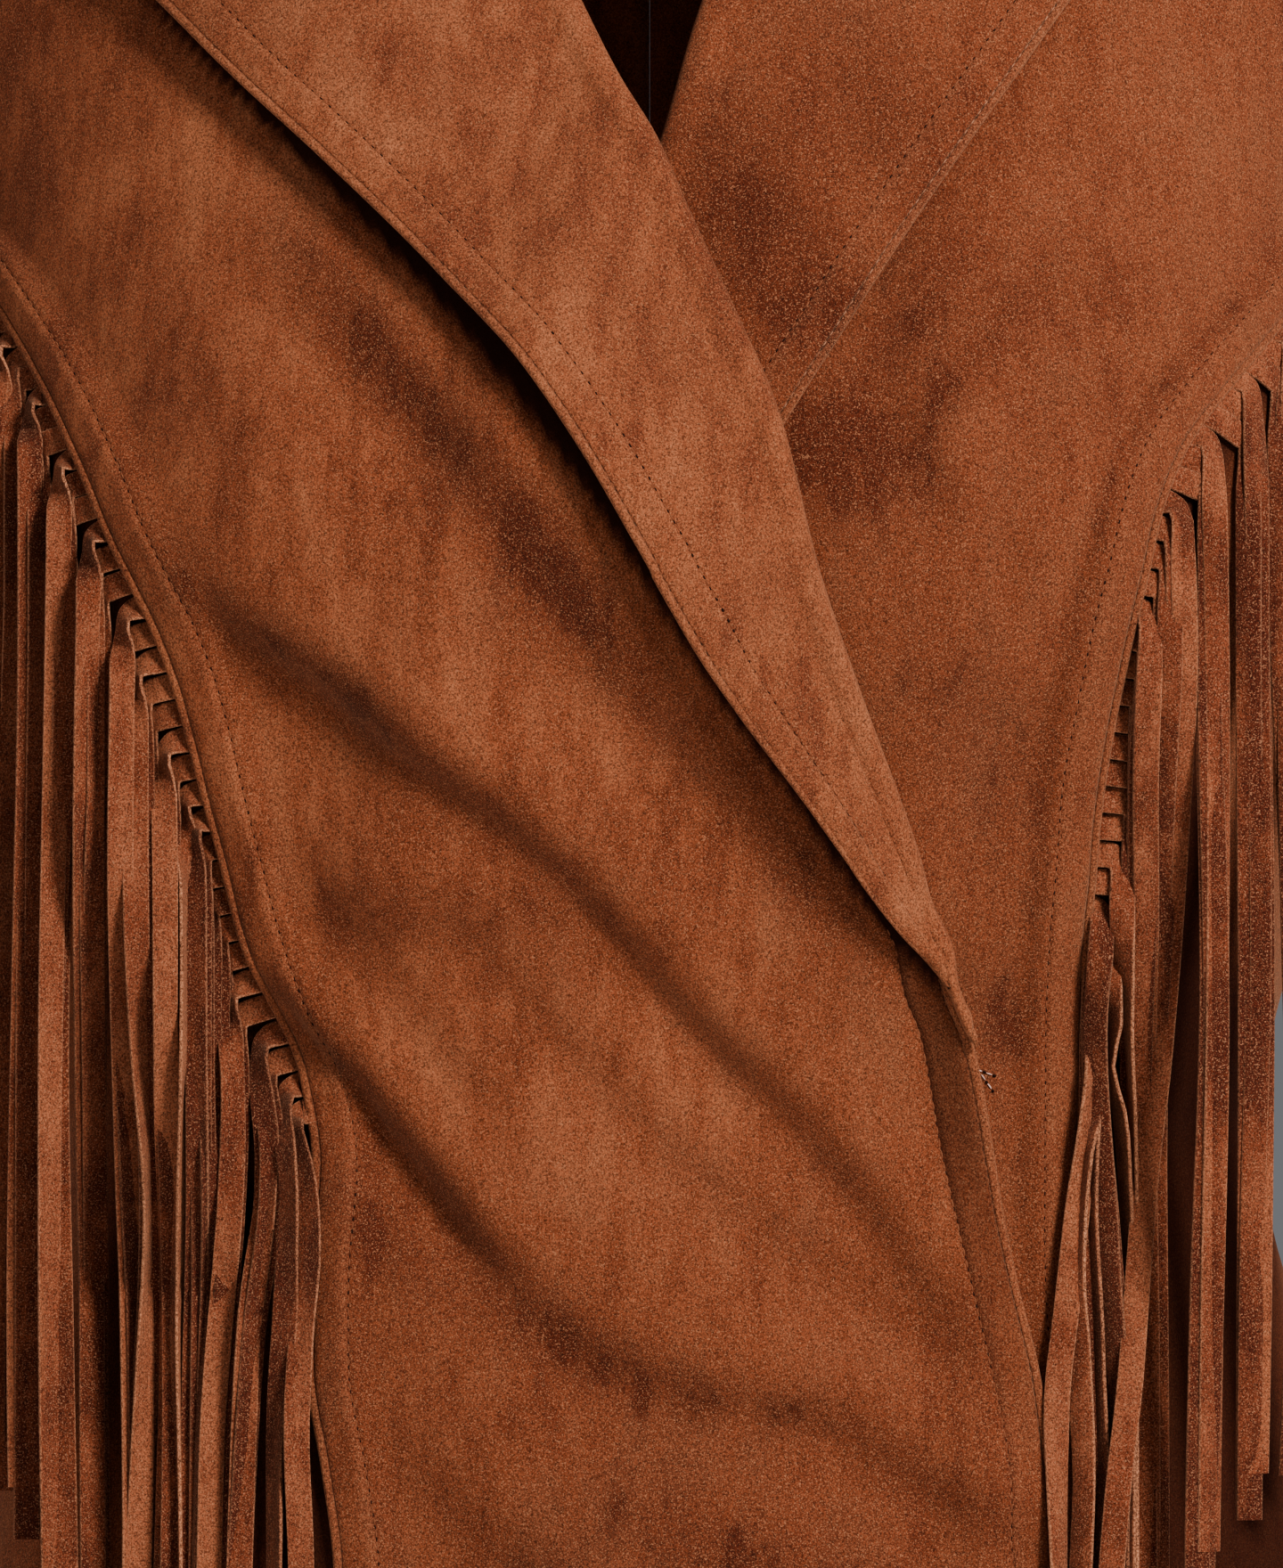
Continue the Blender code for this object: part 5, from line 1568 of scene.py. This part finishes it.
# The nap's broad patches, mottle, streaks, grain and specks: scale, detail, stretch and roughness
NAP_NOISE = (
    (11.0, 2.0),
    (70.0, 6.0, (1, 1, 0.5), 0.68),
    (230.0, 3.0, (1, 1, 0.14)),
    (2300.0, 3.0, (1, 1, 0.85), 0.75),
    (3000.0, 1.5),
)
BRUSHED_AND_SHADED = (0.56, 0.46, 0.46)  # what brushing and painted shade leave of the deep colour's red, green and blue
DARK_THREAD = ((0.165, 0.044, 0.017), (0.235, 0.078, 0.034))
PALE_THREAD = ((0.36, 0.155, 0.085), (0.22, 0.075, 0.035))
TACK_THREAD = ((0.80, 0.52, 0.46), (0.36, 0.155, 0.085))
# The dark of each stitch hole, on a flat disc: painted shade
HOLE_SHADE = (0.010, 0.0028, 0.0012)
SHEEN = 0.18  # how much light the nap's tips catch

# What shows of each piece, laid flat: width and length in metres, and area in square metres
CUT = {
    "front_right": (0.30, 0.62, 0.117),
    "front_left": (0.26, 0.62, 0.090),
    "side_front_right": (0.14, 0.41, 0.040),
    "side_front_left": (0.14, 0.41, 0.036),
    "back_right": (0.25, 0.61, 0.125),
    "back_left": (0.25, 0.61, 0.125),
    "lapel_right": (0.13, 0.38, 0.030),
    "lapel_left": (0.11, 0.36, 0.022),
    "collar": (0.13, 0.56, 0.055),
    "sleeve_right": (0.40, 0.56, 0.170),
    "sleeve_left": (0.40, 0.56, 0.170),
    "fringe_right": (0.218, 0.26, 0.050),
    "fringe_left": (0.218, 0.26, 0.050),
}


def node_of(key):
    """The node that a piece of sewing belongs to."""
    return key.removesuffix("_edge").removesuffix("_tack")


def front_looks(front, side):
    """A front's brushed places with the shade painted on its folds and beside its seam band, its rubbed
    places and its other painted shade.
    """
    to_seam = from_last(front)[None]
    to_edge = from_first(front)[None]
    below = ramp((SEAM_FROM - front[:, -1, 2]) / 16)[:, None]
    free = ramp((FREE_FROM - front[:, 0, 2]) / 14)[:, None]
    nap_and_shade = nap_and_shade_at(front) + below * row_dark(to_seam) + free * row_dark(to_edge)
    # shade painted along the foot of the raised seam band
    nap_and_shade += SEAM_SHADE * below * hump((to_seam - 13.5) / 2.5) + FRONT_NAP[side]
    rubbed = below * row_worn(to_seam) + free * row_worn(to_edge)
    shade = LAPEL_SHADE[side] * lapel_shade(front, side)
    shade = shade + SEAM_ROW_SHADE[side] * below * hump((to_seam - 2.2) / 0.5)
    if side < 0:
        shade = shade + band_shade(to_edge, -front[..., 2])
    return nap_and_shade, rubbed, np.clip(shade, 0, 1)


def front_rows(front):
    """The topstitching of a front: beside its seam edge and its free edge, and above its hem."""
    seam = int(np.argmax(front[:, -1, 2] < SEAM_FROM - 4))
    free = int(np.argmax(front[:, 0, 2] < FREE_FROM - 6))
    places = ((-1 - EDGE_AT, seam), (-1 - INNER_AT, seam), (EDGE_AT, free), (INNER_AT, free))
    rows = [row_on(front, column, CLOTH, first, -6) for column, first in places]
    return rows + [row_across(front, HEM_ROW, CLOTH, (INNER_AT, -INNER_AT))]


def build():
    body = suede("body_suede", *BODY_COLOURS)
    faced = suede("facing_suede", *FACED_COLOURS)
    cut = suede("strand_suede", *STRAND_COLOURS, toned=True)
    dark = thread("dark_thread", *DARK_THREAD)
    light = thread("pale_thread", *PALE_THREAD)
    stitch, stitches = new_object("stitch_shape", stitch_shape()), stitch_tree()
    profile, strands = new_object("strand_profile", strand_profile()), strand_tree()
    made, sewn, panels = {}, {}, []

    def lay(node, grid, thick, material, nap_and_shade, **looks):
        made[node] = cloth(node + "_suede", grid, thick, material, nap_and_shade, **looks)

    def sew(name, rows, material):
        lines = [{"at": line, "up": up} for line, up in rows]
        values = {"Stitch": stitch, "Pitch": STITCH_PITCH * MM, "Thread": material}
        sewn[name] = run_tree("stitches_" + name, line_mesh("rows_" + name, lines), stitches, values)

    every = ("start", "end", "top", "bottom")
    for side, name in ((-1, "right"), (1, "left")):
        front, back, side_front = (hem_rows(grid(side)) for grid in (front_grid, back_grid, side_front_grid))
        panels += [front, back]
        lapel = lapel_grid(side, front, Ground([front]))
        sleeve = sleeve_grid(side)

        nap_and_shade, rubbed, shade = front_looks(front, side)
        worn = ("start", "end", "bottom")
        lay("front_" + name, front, CLOTH, body, nap_and_shade, rounded=every, worn=worn, rubbed=rubbed, shade=shade)
        lay("back_" + name, back, CLOTH, body, nap_and_shade_at(back), rounded=every)
        nap_and_shade, shade = nap_and_shade_at(side_front) + 0.10, fringe_shade(side_front, side)
        lay("side_front_" + name, side_front, CLOTH, body, nap_and_shade, rounded=every, shade=shade)
        distance = from_last(lapel)[None]
        nap_and_shade = nap_patches(lapel, NAP_LAPEL) + row_dark(distance) + LAPEL_NAP[side]
        looks = {"rounded": ("end", "bottom"), "worn": ("end",), "rubbed": row_worn(distance)}
        lay("lapel_" + name, lapel, FACED, faced if side < 0 else body, nap_and_shade, **looks)
        looks = {"around": True, "rounded": ("bottom",), "worn": ("bottom",)}
        lay("sleeve_" + name, sleeve, CLOTH, body, 0 * sleeve[..., 0], **looks)
        lines = [dict(zip(("at", "across", "wide", "tone"), line)) for line in fringe_lines(side)]
        values = {"Profile": profile, "Suede": cut}
        mesh = line_mesh("lines_" + name, lines)
        made["fringe_" + name] = run_tree("fringe_" + name + "_suede", mesh, strands, values)

        sew("front_" + name, front_rows(front), dark)
        if side > 0:
            sew("front_left_tack", tack_rows(front), thread("tack_thread", *TACK_THREAD))
        sew("side_front_" + name, [row_across(side_front, HEM_ROW, CLOTH, (3, -1))], dark)
        sew("back_" + name, [row_across(back, HEM_ROW, CLOTH, (1, -1)), row_on(back, 1, CLOTH, 3, -6)], dark)
        inner = row_on(lapel, -1 - INNER_AT, FACED, 2, -14)
        outer = row_on(lapel, -1 - EDGE_AT, FACED, 2, -4)
        if side < 0:
            sew("lapel_" + name, [inner, outer], dark)
        else:
            sew("lapel_" + name, [inner], dark)
            sew("lapel_" + name + "_edge", [outer], light)
        ring = sleeve.mean(axis=1, keepdims=True)
        closed = np.concatenate([sleeve, sleeve[:, :1]], axis=1)
        sew("sleeve_" + name, [row_across(closed, up, CLOTH, centre=ring) for up in CUFF_ROWS], dark)

    collar = collar_grid(Ground(panels))
    nap_and_shade = row_dark(from_last(collar)[None]) + 0 * collar[..., 0]
    lay("collar", collar, FACED, faced, nap_and_shade, rounded=("end", "top", "bottom"), worn=("end",))
    rows = [row_on(collar, -1 - EDGE_AT, FACED, 2, -2), row_on(collar, -1 - INNER_AT, FACED, 3, -3)]
    sew("collar", rows, dark)
    bpy.data.objects.remove(stitch, do_unlink=True)
    bpy.data.objects.remove(profile, do_unlink=True)

    for node, piece in made.items():
        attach(piece, "root")
        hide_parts(node)
    for key, piece in sewn.items():
        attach(piece, "root")
        node_of(key)
    for node, piece in made.items():
        wide, long, area = CUT[node]
        thread_pieces = [thing for key, thing in sewn.items() if node_of(key) == node]


# ---------------------------------------------------------------------------------- light and camera


FLOOR_Z, FLOOR_HALF = -0.78, 6.0
FLOOR_COLOUR, SKY_COLOUR, SKY_LIGHT = (0.78, 0.77, 0.75, 1), (0.93, 0.95, 1.0, 1), 0.17
# Lights: name, place, what it points at, size, power, colour
LIGHTS = (
    ("key", (0.95, -1.45, 0.60), (0, -0.1, -0.30), 0.55, 56, (1.0, 0.965, 0.92)),
    ("fill", (-1.5, -1.5, 0.1), (0, -0.1, -0.33), 1.4, 5, (0.95, 0.97, 1.0)),
    ("back", (-0.9, 1.8, 0.9), (0, 0.1, -0.3), 1.2, 24, (1.0, 0.98, 0.95)),
)
CAMERA_PLACE, CAMERA_TARGET, CAMERA_LENS = (-0.002, -2.73, -0.3246), (-0.002, 0, -0.3246), 266


def aim(thing, target):
    way = Vector(target) - Vector(thing.location)
    thing.rotation_euler = way.to_track_quat("-Z", "Y").to_euler()


def stage():
    mesh = bpy.data.meshes.new("floor")
    corners = [(x * FLOOR_HALF, y * FLOOR_HALF, FLOOR_Z) for x, y in ((-1, -1), (1, -1), (1, 1), (-1, 1))]
    mesh.from_pydata(corners, [], [(0, 1, 2, 3)])
    floor = new_object("floor", mesh)
    paint, _, shader, _ = new_material("floor")
    shader.inputs["Base Color"].default_value = FLOOR_COLOUR
    shader.inputs["Roughness"].default_value = 0.9
    mesh.materials.append(paint)
    world = bpy.data.worlds.new("world")
    world.use_nodes = True
    world.node_tree.nodes["Background"].inputs[0].default_value = SKY_COLOUR
    world.node_tree.nodes["Background"].inputs[1].default_value = SKY_LIGHT
    bpy.context.scene.world = world
    for name, place, target, size, power, colour in LIGHTS:
        lamp = bpy.data.lights.new(name, "AREA")
        lamp.shape = "DISK"
        lamp.size = size
        lamp.energy = power
        lamp.color = colour
        thing = new_object(name, lamp)
        thing.location = place
        aim(thing, target)
    lens = bpy.data.cameras.new("camera")
    lens.sensor_width = 36
    lens.lens = CAMERA_LENS
    camera = new_object("camera", lens)
    camera.location = CAMERA_PLACE
    aim(camera, CAMERA_TARGET)
    bpy.context.scene.camera = camera


build()
stage()
